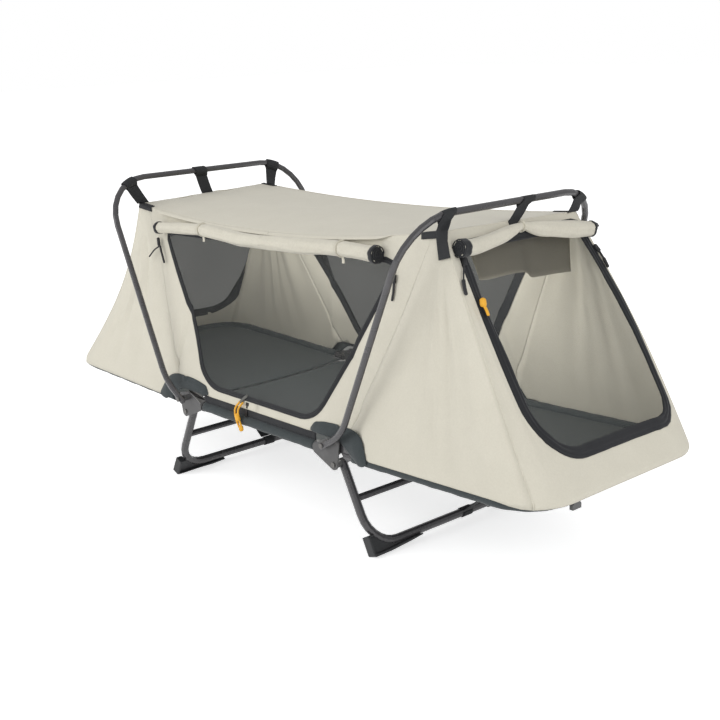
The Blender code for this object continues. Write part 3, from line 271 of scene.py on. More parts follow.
def surface(
    name: str,
    points: Array,
    close_rows: bool = False,
    close_columns: bool = False,
    outward: Array | None = None,
    weld: bool = False,
) -> bpy.types.Object:
    """A mesh object from a grid of points, with a UV map in metres along its rows and columns.

    Args:
        name: The object's name.
        points: A rows by columns by 3 array.
        close_rows: Whether the last row meets the first.
        close_columns: Whether the last column meets the first.
        outward: A direction that most faces should look along; None keeps the winding.
        weld: Whether to merge points that coincide and make the normals agree.

    Returns:
        The object, linked to the scene.
    """
    rows, columns = points.shape[:2]
    flat = points.reshape(-1, 3)
    faces = grid_faces(rows, columns, close_rows, close_columns)
    if outward is not None:
        first, second, third = (flat[faces[:, k]] for k in (0, 1, 2))
        facing = np.cross(second - first, third - second).sum(0)
        if facing @ np.asarray(outward, float) < 0:
            faces = faces[:, ::-1]
    mesh = bpy.data.meshes.new(name)
    mesh.from_pydata(flat.tolist(), [], faces.tolist())
    down = np.cumsum(np.linalg.norm(np.diff(points, axis=0, prepend=points[:1]), axis=2), 0)
    across = np.cumsum(np.linalg.norm(np.diff(points, axis=1, prepend=points[:, :1]), axis=2), 1)
    coordinates = np.stack([across.ravel(), down.ravel()], 1)
    layer = mesh.uv_layers.new(name="UVMap")
    layer.data.foreach_set("uv", coordinates[faces.ravel()].astype(np.float32).ravel())
    if weld:
        mended(mesh, weld=True)
    mesh.polygons.foreach_set("use_smooth", np.ones(len(mesh.polygons), bool))
    mesh.update()
    return placed(name, mesh)


def joined(name: str, pieces: Sequence[bpy.types.Object]) -> bpy.types.Object:
    """One object from several, with their materials kept."""
    built = bmesh.new()
    materials: list[bpy.types.Material] = []
    for piece in pieces:
        start = len(built.faces)
        built.from_mesh(piece.data)
        built.faces.ensure_lookup_table()
        for slot_material in piece.data.materials:
            if slot_material not in materials:
                materials.append(slot_material)
        index = materials.index(piece.data.materials[0]) if piece.data.materials else 0
        for face in built.faces[start:]:
            face.material_index = index
    mesh = bpy.data.meshes.new(name)
    built.to_mesh(mesh)
    built.free()
    for slot_material in materials:
        mesh.materials.append(slot_material)
    for piece in pieces:
        bpy.data.objects.remove(piece, do_unlink=True)
    thing = placed(name, mesh)
    return thing


def frames(path: Array, reference: Sequence[float]) -> tuple[Array, Array, Array]:
    """The tangent along a path, a direction square to it and to the reference, and one square to both."""
    tangent = unit(np.gradient(path, axis=0))
    side = unit(np.cross(np.broadcast_to(np.asarray(reference, float), path.shape), tangent))
    return tangent, side, np.cross(tangent, side)


def sweep(path: Array, profile: Array, reference: Sequence[float]) -> Array:
    """A profile carried along a path: each ring lies square to the path, turned so that one axis stays
    square to the reference direction.

    Args:
        path: Points of the path.
        profile: Points of the profile, as (side, up) pairs.
        reference: A direction that no part of the path runs along.

    Returns:
        A grid of points, one row for each path point.
    """
    _, side, up = frames(path, reference)
    return (
        path[:, None] + (profile[None, :, 0, None] * side[:, None] + profile[None, :, 1, None] * up[:, None])
    )


def circle(radius: float, sides: int) -> Array:
    """A round profile."""
    turn = np.linspace(0, 2 * np.pi, sides, endpoint=False)
    return radius * np.stack([np.cos(turn), np.sin(turn)], 1)


def slab(width: float, thickness: float) -> Array:
    """A flat band's profile with softly rounded edges."""
    half, deep = width / 2, thickness / 2
    x = np.linspace(-half + deep, half - deep, 5)
    ends = np.array([-math.pi / 2, 0, math.pi / 2])
    right = np.stack([half - deep + deep * np.cos(ends), deep * np.sin(ends)], 1)
    low, high = (np.stack([run, np.full(len(run), z)], 1) for run, z in ((x[:-1], -deep), (x[-2:0:-1], deep)))
    return np.concatenate([low, right, high, -right[:-1]])


def bar(
    name: str, path: Array, radius: float, reference: Sequence[float], sides: int, dome: float = 0.0
) -> bpy.types.Object:
    """A closed round bar along a path, with flat or domed ends.

    Args:
        name: The object's name.
        path: Points of its centre line.
        radius: Its radius.
        reference: A direction that the path never runs along.
        sides: Sides of its section.
        dome: How far its ends bulge.

    Returns:
        The object.
    """
    start, end = unit(path[0] - path[1]), unit(path[-1] - path[-2])
    quarter = np.linspace(0, np.pi / 2, 4)[1:]
    rise, shrink = np.sin(quarter), np.cos(quarter)[:, None, None]
    low = path[0] + np.outer(rise[::-1], start) * dome
    high = path[-1] + np.outer(rise, end) * dome
    middle = sweep(path, circle(radius, sides), reference)
    first, last = middle[0] - path[0], middle[-1] - path[-1]
    rings = [low[:, None] + first[None] * shrink[::-1], middle, high[:, None] + last[None] * shrink]
    return surface(name, np.concatenate(rings), close_columns=True, weld=True)


def with_wall(thing: bpy.types.Object, thickness: float) -> bpy.types.Object:
    """Gives a sheet its thickness with a Solidify that stays live."""
    wall = thing.modifiers.new("thickness", "SOLIDIFY")
    wall.thickness = thickness
    wall.offset = 0.0
    return thing


def bevelled(thing: bpy.types.Object, width: float) -> bpy.types.Object:
    """Rounds an object's sharp edges with a Bevel that stays live."""
    edge = thing.modifiers.new("edges", "BEVEL")
    edge.width = width
    edge.segments = 2
    edge.limit_method = "ANGLE"
    edge.angle_limit = math.radians(35)
    return thing


def plate_between(name: str, outline: Array, frame: Array, low: float, high: float) -> bpy.types.Object:
    """A flat plate: an outline in a frame's first two axes, between two heights on its third.

    Args:
        name: The object's name.
        outline: Points as (u, v) pairs, in a loop.
        frame: A 4 by 3 array: three axes and the origin.
        low: The lower height.
        high: The upper height.

    Returns:
        The object, with closed faces.
    """
    count = len(outline)
    flat = outline @ frame[:2] + frame[3]
    points = np.concatenate([flat + frame[2] * low, flat + frame[2] * high])
    index = np.arange(count)
    after = (index + 1) % count
    faces = np.stack([index, after, after + count, index + count], 1).tolist()
    faces += [list(range(count - 1, -1, -1)), list(range(count, 2 * count))]
    mesh = bpy.data.meshes.new(name)
    mesh.from_pydata(points.tolist(), [], faces)
    mended(mesh, weld=False)
    return placed(name, mesh)


# Finishes


WAVE_SCALE = 0.31
GROUP_FEEDS = {"Color": "Base Color", "Roughness": "Roughness", "Alpha": "Alpha"}


class ShaderGroup:
    """A shader node group with named sockets, built once and placed in each material with its own values."""

    def __init__(self, name: str, inputs: dict[str, object], outputs: Sequence[str]) -> None:
        """Makes an empty group.

        Args:
            name: The group's name.
            inputs: Each input's default by its name: four numbers for a colour, else one number.
            outputs: The outputs' names, of which only Color is a colour.
        """
        self.tree = bpy.data.node_groups.new(name, "ShaderNodeTree")
        for label, default in inputs.items():
            self.socket(label, "INPUT", isinstance(default, tuple)).default_value = default
        for label in outputs:
            self.socket(label, "OUTPUT", label == "Color")
        self.inside = self.tree.nodes.new("NodeGroupInput")
        self.out = self.tree.nodes.new("NodeGroupOutput")
        self.place = self.node("TexCoord").outputs["Object"]

    def socket(self, label: str, way: str, colour: bool) -> bpy.types.NodeTreeInterfaceSocket:
        """A new input or output, which holds a colour or a number."""
        kind = "NodeSocketColor" if colour else "NodeSocketFloat"
        return self.tree.interface.new_socket(name=label, in_out=way, socket_type=kind)

    def node(self, kind: str, **settings: object) -> bpy.types.Node:
        """A node in the group, with its settings as place_node takes them."""
        return place_node(self.tree, kind, **settings)

    def value(self, given: object) -> object:
        """The group's input of a name, or else what is given."""
        return self.inside.outputs[given] if isinstance(given, str) else given

    def math(self, operation: str, *values: object, clamp: bool = False) -> bpy.types.NodeSocket:
        """The result of a Math node on numbers, sockets or names of the group's inputs."""
        settings = {f"in_{k}": self.value(value) for k, value in enumerate(values)}
        return self.node("Math", operation=operation, use_clamp=clamp, **settings).outputs[0]

    def remap(
        self, value: object, source: tuple[float, float], wanted: tuple[float, float]
    ) -> bpy.types.NodeSocket:
        """A value moved from one range to another."""
        ranges = dict(zip(("in_1", "in_2", "in_3", "in_4"), (*source, *wanted)))
        return self.node("MapRange", in_Value=value, **ranges).outputs[0]

    def noise(self, scale: object, detail: float, **settings: float) -> bpy.types.NodeSocket:
        """Noise over the object's own coordinates."""
        return self.node(
            "TexNoise", in_Vector=self.place, in_Scale=scale, in_Detail=detail, **settings
        ).outputs["Fac"]

    def waves(self, pitch: str, *directions: str) -> list[bpy.types.NodeSocket]:
        """Bands along each direction over the object's own coordinates, whose pitch is one of the group's
        inputs."""
        fine = self.math("DIVIDE", 1.0, pitch)
        scaled = self.node("VectorMath", operation="SCALE", in_0=self.place, in_Scale=fine).outputs[0]
        bands = {"wave_type": "BANDS", "in_Vector": scaled, "in_Scale": WAVE_SCALE}
        return [self.node("TexWave", bands_direction=way, **bands).outputs["Fac"] for way in directions]

    def mix(self, share: object, first: str, second: str) -> bpy.types.NodeSocket:
        """A mix of two of the group's colours."""
        return mixed(self.tree, share, self.value(first), self.value(second))

    def feed(self, **outputs: bpy.types.NodeSocket) -> ShaderGroup:
        """Joins sockets to the group's outputs, and gives the group back."""
        for label, source in outputs.items():
            self.tree.links.new(source, self.out.inputs[label])
        return self


def place_node(tree: bpy.types.NodeTree, kind: str, **settings: object) -> bpy.types.Node:
    """A new node in a tree.

    Args:
        tree: The node tree.
        kind: The node's type, without its ShaderNode prefix.
        settings: Attributes, and inputs as in_NUMBER or in_Name with underscores for spaces.

    Returns:
        The node.
    """
    made = tree.nodes.new("ShaderNode" + kind)
    for key, value in settings.items():
        if not key.startswith("in_"):
            setattr(made, key, value)
            continue
        label = key[3:]
        socket = made.inputs[int(label)] if label.isdigit() else made.inputs[label.replace("_", " ")]
        if isinstance(value, bpy.types.NodeSocket):
            tree.links.new(value, socket)
        else:
            socket.default_value = value
    return made


def mixed(tree: bpy.types.NodeTree, share: object, first: object, second: object) -> bpy.types.NodeSocket:
    """A mix of two colours in a tree."""
    return place_node(tree, "Mix", data_type="RGBA", in_0=share, in_6=first, in_7=second).outputs[2]


@cache
def cloth_group() -> ShaderGroup:
    """Plain-woven cloth: two crossed waves for the threads, noise for slubs and mottling, and wide soft
    creases, whose hollows the colour darkens towards Shade as painted shade."""
    inputs = {
        "Color": (0.6, 0.6, 0.5, 1),
        "Shade": (0.5, 0.5, 0.4, 1),
        "Thread Pitch": 0.0009,
        "Crease Size": 0.09,
        "Crease Depth": 0.3,
        "Roughness": 0.8,
    }
    group = ShaderGroup("woven_cloth", inputs, ("Color", "Roughness", "Height"))
    weave = group.math("MULTIPLY", *group.waves("Thread Pitch", "DIAGONAL", "Z"))
    crease = group.noise(group.math("DIVIDE", 1.0, "Crease Size"), 3.0, in_Roughness=0.45, in_Distortion=0.6)
    slub = group.noise(210.0, 2.0)
    height = group.math(
        "ADD", group.math("MULTIPLY", crease, "Crease Depth"), group.math("MULTIPLY", weave, 0.012)
    )
    mottle = group.remap(slub, (0.3, 0.7), (0.0, 0.35))
    # Painted shade: the colour moves towards Shade where the crease noise is low, in the creases' hollows.
    crease_shade = group.remap(crease, (0.25, 0.75), (0.35, 0.0))
    colour = group.mix(group.math("ADD", mottle, crease_shade, clamp=True), "Color", "Shade")
    return group.feed(
        Color=colour, Roughness=group.math("MULTIPLY_ADD", weave, 0.08, "Roughness"), Height=height
    )


@cache
def paint_group() -> ShaderGroup:
    """Powder coat: orange-peel noise, faint dust, and rubbed streaks where a coarse noise peaks."""
    inputs = {"Color": (0.1, 0.1, 0.1, 1), "Rubbed": (0.3, 0.3, 0.3, 1), "Rub Amount": 0.3, "Roughness": 0.35}
    group = ShaderGroup("coated_metal", inputs, ("Color", "Roughness", "Height"))
    peel = group.noise(900.0, 2.0)
    cloud = group.noise(14.0, 5.0, in_Roughness=0.65)
    share = group.math("MULTIPLY", group.remap(cloud, (0.55, 0.75), (0.0, 1.0)), "Rub Amount")
    rough = group.math("MULTIPLY_ADD", cloud, 0.14, "Roughness")
    return group.feed(Color=group.mix(share, "Color", "Rubbed"), Roughness=rough, Height=peel)


@cache
def net_group() -> ShaderGroup:
    """Insect net: two crossed sets of fine bands whose overlap leaves small holes."""
    group = ShaderGroup("insect_net", {"Pitch": 0.0016, "Cover": 0.6}, ("Alpha", "Height"))
    thread = group.math("MAXIMUM", *group.waves("Pitch", "DIAGONAL", "Z"))
    drift = group.math("MULTIPLY_ADD", group.noise(5.0, 2.0), 0.10, -0.05)
    swing = group.math("MULTIPLY_ADD", thread, 0.20, -0.13)
    return group.feed(
        Alpha=group.math("ADD", group.math("ADD", "Cover", drift), swing, clamp=True), Height=thread
    )


@cache
def band_group() -> ShaderGroup:
    """Webbing: level ribs from one wave up the object's own Z, broken by fine noise, in two near colours."""
    inputs = {"Color": (0.03, 0.03, 0.03, 1), "Stitch": (0.08, 0.08, 0.08, 1), "Rib Pitch": 0.0022}
    group = ShaderGroup("ribbed_webbing", inputs, ("Color", "Height"))
    share = group.math("MULTIPLY", *group.waves("Rib Pitch", "Z"), group.noise(600.0, 2.0))
    return group.feed(Color=group.mix(share, "Color", "Stitch"), Height=share)


@dataclass(frozen=True)
class Recipe:
    """What a finish's material is made of: a group with its values, the shader's own values, and a bump's
    depth."""

    group: Callable[[], ShaderGroup]
    values: dict[str, object]
    shader: dict[str, object]
    bump: float


@dataclass(frozen=True)
class Finish:
    """What all finishes share: a name and the record's material slot."""

    name: str
    slot: str

    def recipe(self) -> Recipe:
        """What the material is made of."""
        raise NotImplementedError

    def material(self) -> bpy.types.Material:
        """The finish's material, made once: the recipe's group feeds the shader, and its height feeds a
        bump."""
        found = bpy.data.materials.get(self.name)
        if found:
            return found
        made = bpy.data.materials.new(self.name)
        made.use_nodes = True
        tree, recipe = made.node_tree, self.recipe()
        shader = tree.nodes["Principled BSDF"]
        group = place_node(tree, "Group", node_tree=recipe.group().tree)
        for node, values in ((group, recipe.values), (shader, recipe.shader)):
            for label, value in values.items():
                node.inputs[label].default_value = value
        for label, wanted in GROUP_FEEDS.items():
            if label in group.outputs:
                tree.links.new(group.outputs[label], shader.inputs[wanted])
        bump = place_node(
            tree, "Bump", in_Height=group.outputs["Height"], in_Distance=recipe.bump, in_Strength=1.0
        )
        tree.links.new(bump.outputs[0], shader.inputs["Normal"])
        return made

    def coat(self, thing: bpy.types.Object) -> None:
        """Puts the material on an object."""
        thing.data.materials.clear()
        thing.data.materials.append(self.material())

    def dress(self, thing: bpy.types.Object) -> bpy.types.Object:
        """Puts the material on an object."""
        self.coat(thing)
        return thing


@dataclass(frozen=True)
class Cloth(Finish):
    """Woven polyester."""

    colour: Point
    shade: Point
    roughness: float = 0.78
    crease_size: float = 0.09
    crease_depth: float = 0.35

    def recipe(self) -> Recipe:
        """Base colour, roughness and creases from the cloth group, with a little sheen."""
        values = {
            "Color": (*self.colour, 1),
            "Shade": (*self.shade, 1),
            "Roughness": self.roughness,
            "Crease Size": self.crease_size,
            "Crease Depth": self.crease_depth,
        }
        shader = {"Sheen Weight": 0.15, "Sheen Roughness": 0.5, "Specular IOR Level": 0.3}
        return Recipe(cloth_group, values, shader, 0.004)


@dataclass(frozen=True)
class Painted(Finish):
    """Powder-coated or moulded surfaces."""

    colour: Point
    rubbed: Point
    rub: float = 0.3
    roughness: float = 0.32
    metallic: float = 0.0
    specular: float = 0.5
    peel: float = 0.00006

    def recipe(self) -> Recipe:
        """Base colour and roughness from the coat group."""
        values = {
            "Color": (*self.colour, 1),
            "Rubbed": (*self.rubbed, 1),
            "Rub Amount": self.rub,
            "Roughness": self.roughness,
        }
        shader = {"Metallic": self.metallic, "Specular IOR Level": self.specular}
        return Recipe(paint_group, values, shader, self.peel)


@dataclass(frozen=True)
class Net(Finish):
    """Fine insect net that shows what is behind it."""

    colour: Point
    cover: float

    def recipe(self) -> Recipe:
        """A dark matt surface whose alpha comes from the net group."""
        shader = {"Base Color": (*self.colour, 1), "Roughness": 0.75, "Specular IOR Level": 0.25}
        return Recipe(net_group, {"Cover": self.cover}, shader, 0.0003)


@dataclass(frozen=True)
class Webbing(Finish):
    """Ribbed nylon band."""

    colour: Point
    stitch: Point

    def recipe(self) -> Recipe:
        """Colour and ribs from the webbing group."""
        values = {"Color": (*self.colour, 1), "Stitch": (*self.stitch, 1)}
        return Recipe(band_group, values, {"Roughness": 0.72, "Specular IOR Level": 0.35}, 0.0005)


TAN = Cloth("tan_canopy_cloth", "tent_cloth", (0.665, 0.635, 0.540), (0.590, 0.560, 0.470))
# The rolled covers: the tan cloth with a darker Shade colour and tighter, deeper creases, so the painted
# shade in their hollows comes out darker.
TAN_ROLL = Cloth(
    "tan_rolled_cloth", "tent_cloth", (0.660, 0.630, 0.535), (0.545, 0.515, 0.430), crease_size=0.035,
    crease_depth=0.45
)
# The pocket panel's cloth: the tan cloth darkened as painted shade, for the shade inside the end wall where
# it hangs.
SHADED_POCKET_TAN = Cloth(
    "shaded_pocket_cloth", "tent_cloth", (0.400, 0.370, 0.295), (0.340, 0.312, 0.248), crease_size=0.05
)
GREY = Cloth(
    "grey_bed_cloth", "bed_cloth", (0.040, 0.050, 0.053), (0.028, 0.035, 0.037), roughness=0.72,
    crease_size=0.06
)
# Near-black binding, set darker than the binding's own black so that the strip in the hem gap matches the
# shadow under the hem: partly painted shade.
BINDING = Cloth(
    "black_binding", "webbing", (0.014, 0.015, 0.018), (0.009, 0.010, 0.012), 0.70, crease_size=0.02,
    crease_depth=0.1
)
NET = Net("dark_insect_net", "mesh", (0.036, 0.038, 0.037), cover=0.46)
STRAP = Webbing("black_webbing", "webbing", (0.017, 0.018, 0.020), (0.042, 0.044, 0.047))
TUBE = Painted(
    "grey_powder_coat", "frame_tube", (0.052, 0.050, 0.054), (0.11, 0.107, 0.11), rub=0.25, roughness=0.20,
    specular=0.65
)
CASTING = Painted(
    "grey_cast_knuckle", "casting", (0.066, 0.065, 0.066), (0.145, 0.14, 0.14), rub=0.5, roughness=0.36
)
RIVET = Painted("grey_rivet", "rivet", (0.15, 0.145, 0.14), (0.30, 0.29, 0.28), roughness=0.42, metallic=0.6)
RUBBER = Painted(
    "black_rubber", "foot_rubber", (0.022, 0.023, 0.025), (0.05, 0.05, 0.052), rub=0.5, roughness=0.48,
    peel=0.0002
)
CLIP = Painted("grey_moulded_clip", "foot_rubber", (0.10, 0.10, 0.10), (0.16, 0.16, 0.16), roughness=0.5)
SLIDER = Painted(
    "black_zip_slider", "slider", (0.020, 0.020, 0.022), (0.10, 0.10, 0.10), rub=0.6, roughness=0.3,
    metallic=0.4
)
BUCKLE = Painted(
    "grey_zip_bridge", "slider", (0.13, 0.13, 0.12), (0.30, 0.30, 0.29), rub=0.6, roughness=0.3, metallic=0.5
)
CORD = Painted("black_pull_cord", "slider", (0.016, 0.016, 0.018), (0.04, 0.04, 0.042), roughness=0.6)
PULL = Painted("yellow_pull_cord", "slider", (0.83, 0.42, 0.03), (0.70, 0.33, 0.02), roughness=0.55)


SHEET_MARGIN = 1.02
LEAST_WIDTH = 0.011
SPARSE_SHARE = 0.31
FILLED_SHARE = 0.35


def declare_sheet(
    thing: bpy.types.Object
) -> bpy.types.Object:
    """Measures a sheet's own cut size on its mesh before it has thickness; the size is not kept.

    Args:
        thing: The sheet.

    Returns:
        The same object.
    """
    count = len(thing.data.polygons)
    area = np.zeros(count)
    thing.data.polygons.foreach_get("area", area)
    corners = np.zeros(len(thing.data.vertices) * 3)
    thing.data.vertices.foreach_get("co", corners)
    points = corners.reshape(-1, 3) - corners.reshape(-1, 3).mean(0)
    _, _, axes = np.linalg.svd(points, full_matrices=False)
    spread = points @ axes.T
    long, wide = (float(np.ptp(spread[:, k])) for k in (0, 1))
    total = float(area.sum())
    wide = max(wide, total / long * SHEET_MARGIN, LEAST_WIDTH)
    if total < SPARSE_SHARE * long * wide:
        wide = total / (FILLED_SHARE * long)
    return thing


def ride(thing: bpy.types.Object, body: str, *nodes: str) -> bpy.types.Object:
    """Fixes a piece to a body and lets it stand for CAD nodes."""
    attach(thing, body)
    if nodes:
        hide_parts(*nodes)
    LOG.info("%s rides on %s", thing.name, body)
    return thing


def fit_sheet(
    thing: bpy.types.Object,
    thickness: float,
    rests_on: Sequence[str],
    body: str,
    *nodes: str,
    held: str = "stretched",
) -> bpy.types.Object:
    """Measures a sheet, gives it its thickness and fixes it to a body.

    Args:
        thing: The sheet.
        thickness: Its thickness.
        rests_on: What it hangs from or lies on; not used.
        body: The body that it rides on.
        nodes: The CAD nodes that it stands for.
        held: How it is held; not used.

    Returns:
        The same object.
    """
    declare_sheet(thing)
    with_wall(thing, thickness)
    return ride(thing, body, *nodes)


def fold_with_hoop(thing: bpy.types.Object) -> bpy.types.Object:
    """Gives a piece on a hoop its own copy of its mesh."""
    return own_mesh(thing)


# Canopy


@dataclass(frozen=True)
class Roof:
    """The roof's surface: bilinear between its four corners, less a sag that is a parabola along the bed."""

    corners: tuple[float, float, float, float] = (0.872, 0.884, 0.916, 0.903)
    sag: float = 0.020
    near_sag: float = 0.048
    far_sag: float = 0.026
    draw: float = 0.006
    half_length: float = COT.roof_half_length
    half_width: float = COT.roof_half_width

    def height(self, u: Array, v: Array) -> Array:
        """The height at u along and v across the bed, each from -1 to 1."""
        left_near, left_far, right_near, right_far = self.corners
        left = left_near + (left_far - left_near) * (v + 1) / 2
        right = right_near + (right_far - right_near) * (v + 1) / 2
        edge = np.where(np.asarray(v) < 0, self.near_sag, self.far_sag)
        sag = (1 - u * u) * (self.sag + (edge - self.sag) * v * v)
        return left + (right - left) * (u + 1) / 2 - sag

    def point(self, u: Array, v: Array) -> Array:
        """Points of the surface; its ends draw in between the straps."""
        u, v = np.broadcast_arrays(np.asarray(u, float), np.asarray(v, float))
        x = u * (self.half_length - self.draw * (1 - v * v) * u * u)
        return np.stack([x, v * self.half_width, self.height(u, v)], -1)


ROOF = Roof()


CORNER_HEIGHT = 0.905
FAN_DEPTH = 0.0046
CREASE_DEPTH = 0.0056
NEWTON_STEPS = 16
NEWTON_REACH = 1e-4


def bell(value: Array, middle: float, width: float) -> Array:
    """A smooth bump that is 1 at its middle and dies out over its width."""
    return np.exp(-(((value - middle) / width) ** 2))


def folds(along: Array, height: Array, reach: float, seed: float) -> Array:
    """Soft folds in a hanging panel: fans of ripples that start at its two top corners and die out with
    distance, long creases and streaks that run from each corner down to the hem, and a slow drift from a
    few sines.

    Args:
        along: Distance along the panel from its middle.
        height: Height above the ground.
        reach: Distance of the top corners from the middle.
        seed: A phase that sets one panel apart from another.

    Returns:
        How far the cloth stands out, in metres.
    """
    total = 0.0012 * np.sin(7.1 * along + 3.0 * height + seed)
    total = total + 0.0008 * np.sin(13.0 * along - 9.0 * height + 2 * seed)
    for sign in (-1, 1):
        dx, dz = along - sign * reach, height - CORNER_HEIGHT
        far = np.hypot(dx, dz)
        turn = np.arctan2(sign * dx, -dz)
        fan = np.sin(17.0 * turn + seed + sign) * bell(far, 0.24, 0.19)
        streak = (
            np.sin(46.0 * turn + 1.7 * np.sin(3 * turn + seed) + 2 * seed)
            + 0.6 * np.sin(83.0 * turn + 3 * seed)
        )
        down = np.clip(far / 0.20, 0, 1) ** 2 * np.exp(-((far / 0.78) ** 6))
        crease = np.abs(np.sin(13.0 * turn + 0.9 * seed + 0.6 * np.sin(5 * far))) ** 0.6 - 0.6
        total = total + FAN_DEPTH * fan * bell(turn, 0.0, 0.9)
        total = total + CREASE_DEPTH * crease * down * bell(turn, 0.10, 0.42)
        total = total + CREASE_DEPTH * streak * down * bell(turn, 0.18, 0.30)
    return total


@dataclass(frozen=True)
class Wall:
    """A canopy wall: straight lines from the roof's edge down to the hem, drawn in a little and folded.

    The hem runs round the rail on a rounded rectangle. u goes along the wall and v from the hem (-1) to the
    roof (1).
    """

    sign: int
    seed: float
    axis: int = 0
    draw: float = 0.010
    wrap: float = 0.030
    end_radius: float = 0.0174
    corner_turn: float = math.radians(112)
    seam_spread: float = 0.55

    def corner(self, turn: Array) -> tuple[Array, Array]:
        """The rail's rounded corner at a turn from its side end, as distances along and across the bed."""
        x = COT.half_length - COT.corner_radius + COT.corner_radius * np.sin(turn)
        y = COT.half_width - COT.corner_radius + COT.corner_radius * np.cos(turn)
        return x, y

    def round_rail(self, u: Array, straight: float) -> tuple[Array, Array]:
        """The distance along the rail from the wall's middle, and the turn round the corner that is left
        past its straight run."""
        run = np.abs(u) * (straight + COT.corner_radius * math.pi / 4)
        return run, np.clip((run - straight) / COT.corner_radius, 0, None)

    def rail(self, u: Array) -> tuple[Array, Array, Array, Array]:
        """The rail under the hem: its centre, the level direction square to it, and the hem's distance from
        the centre and turn from straight up."""
        raise NotImplementedError

    def ripple(self, along: Array, height: Array, rise: Array) -> Array:
        """How far the folds stand out."""
        raise NotImplementedError

    def top(self, u: Array) -> Array:
        """The roof edge's points."""
        edge = np.full(np.shape(u), float(self.sign))
        return ROOF.point(edge, u) if self.axis else ROOF.point(u, edge)

    def out(self) -> Array:
        """The level direction that the wall faces."""
        way = np.zeros(3)
        way[1 - self.axis] = self.sign
        return way

    def point(self, u: Array, v: Array, lift: float = 0.0) -> Array:
        """Points of the surface: an arc round the rail from the hem to where the cloth leaves it, then a
        straight line up to the roof, drawn in and folded.

        Args:
            u: Places along the wall, from -1 to 1.
            v: Places up the wall, from -1 to 1.
            lift: How far to stand out from the cloth's middle.

        Returns:
            The points.
        """
        u, v = np.broadcast_arrays(np.asarray(u, float), np.asarray(v, float))
        centre, facing, radius, hem_turn = self.rail(u)
        high = self.top(u)
        reach = ((high - centre) * facing).sum(-1)
        rise = high[..., 2] - centre[..., 2]
        leave = np.arctan2(reach, rise) + np.arccos(radius / np.hypot(reach, rise))
        leave = np.minimum(leave, hem_turn - 0.05)
        share = (v + 1) / 2
        turn = hem_turn + (leave - hem_turn) * np.clip(share / self.wrap, 0, 1)
        on_rail = centre + (radius * np.sin(turn))[..., None] * facing
        on_rail = on_rail + (radius * np.cos(turn))[..., None] * np.array(UP)
        climb = np.clip((share - self.wrap) / (1 - self.wrap), 0, 1)
        point = on_rail + (high - on_rail) * climb[..., None]
        calm, bow = np.clip(1 - u**8, 0, 1), np.sin(np.pi * climb)
        wave = self.ripple(point[..., self.axis], point[..., 2], climb) * bow**0.5 * calm
        stood = point + (wave - self.draw * bow * calm + lift)[..., None] * self.out()
        return stood - self.seam_draw(u) * bow[..., None]

    def seam_draw(self, u: Array) -> Array:
        """How far each corner seam is drawn in at half its height, spread into the wall beside it."""
        weight = smooth(np.abs(u), self.seam_spread, 1.0)
        drawn = np.zeros((*np.shape(u), 3))
        for (end, side), (along, across) in SEAM_DRAWS.items():
            mine = self.owns(end, side, u)[..., None]
            drawn += mine * weight[..., None] * np.array([end.value * along, side.value * across, 0.0])
        return drawn

    def owns(self, end: End, side: Side, u: Array) -> Array:
        """1 where u lies in the half of this wall that runs to a corner."""
        here, towards = (end, side) if self.axis else (side, end)
        return (here.value == self.sign) * (u * towards.value > 0)

    def locate(self, along: Array, height: Array) -> tuple[Array, Array]:
        """Finds u and v of given places on the wall by Newton's method on both at once.

        Args:
            along: Distance along the wall's level axis.
            height: Height above the ground.

        Returns:
            The u and v arrays.
        """
        along, height = np.broadcast_arrays(np.asarray(along, float), np.asarray(height, float))
        u, v = np.zeros(along.shape), np.zeros(along.shape)
        axis, step = self.axis, NEWTON_REACH
        for _ in range(NEWTON_STEPS):
            here = self.point(u, v)
            by_u = (self.point(u + step, v) - here) / step
            by_v = (self.point(u, v + step) - here) / step
            miss_a, miss_z = along - here[..., axis], height - here[..., 2]
            scale = by_u[..., axis] * by_v[..., 2] - by_v[..., axis] * by_u[..., 2]
            scale = np.where(np.abs(scale) < 1e-9, 1e-9, scale)
            u = np.clip(u + (miss_a * by_v[..., 2] - miss_z * by_v[..., axis]) / scale, -1.0, 1.0)
            v = np.clip(v + (miss_z * by_u[..., axis] - miss_a * by_u[..., 2]) / scale, -1.0, 1.0)
        return u, v

    def at(self, along: Array, height: Array, lift: float = 0.0) -> Array:
        """Points of the wall at given places, stood out by lift."""
        u, v = self.locate(along, height)
        return self.point(u, v, lift)


@dataclass(frozen=True)
class SideWall(Wall):
    """A long wall: its hem stands above the middle rail, is lifted over the knuckles, and turns down over
    the end sections' rails."""

    middle_radius: float = 0.040
    knuckle_lift: float = 0.016
    middle_turn: float = math.radians(5)
    left_turn: float = math.radians(99)
    right_turn: float = math.radians(64)

    def rail(self, u: Array) -> tuple[Array, Array, Array, Array]:
        """The rail: straight, then half of its corner; the hem's distance shrinks past the knuckle, and it
        then turns outward and down."""
        run, arc = self.round_rail(u, COT.half_length - COT.corner_radius)
        arc_x, arc_y = self.corner(arc)
        x = np.where(arc > 0, arc_x, run)
        centre = np.stack([np.copysign(x, u), self.sign * arc_y, COT.rail_z(x)], -1)
        facing = np.stack([np.copysign(np.sin(arc), u), self.sign * np.cos(arc), np.zeros_like(x)], -1)
        shrink, turned = smooth(x, 0.438, 0.458), smooth(x, 0.454, 0.505)
        lifted = self.middle_radius + self.knuckle_lift * np.exp(-(((x - 0.352) / 0.075) ** 4))
        radius = lifted + (self.end_radius - lifted) * shrink
        end_turn = np.where(u > 0, self.right_turn, self.left_turn)
        end_turn = end_turn + (self.corner_turn - end_turn) * smooth(arc, 0.0, math.pi / 4)
        return centre, facing, radius, self.middle_turn + (end_turn - self.middle_turn) * turned

    def ripple(self, along: Array, height: Array, rise: Array) -> Array:
        """Corner fans, and small gathers just above the hem."""
        gather = 0.0012 * np.sin(88 * along + 2.5 * np.sin(9 * along + self.seed)) * np.exp(-rise / 0.10)
        return folds(along, height, COT.roof_half_length, self.seed) + gather


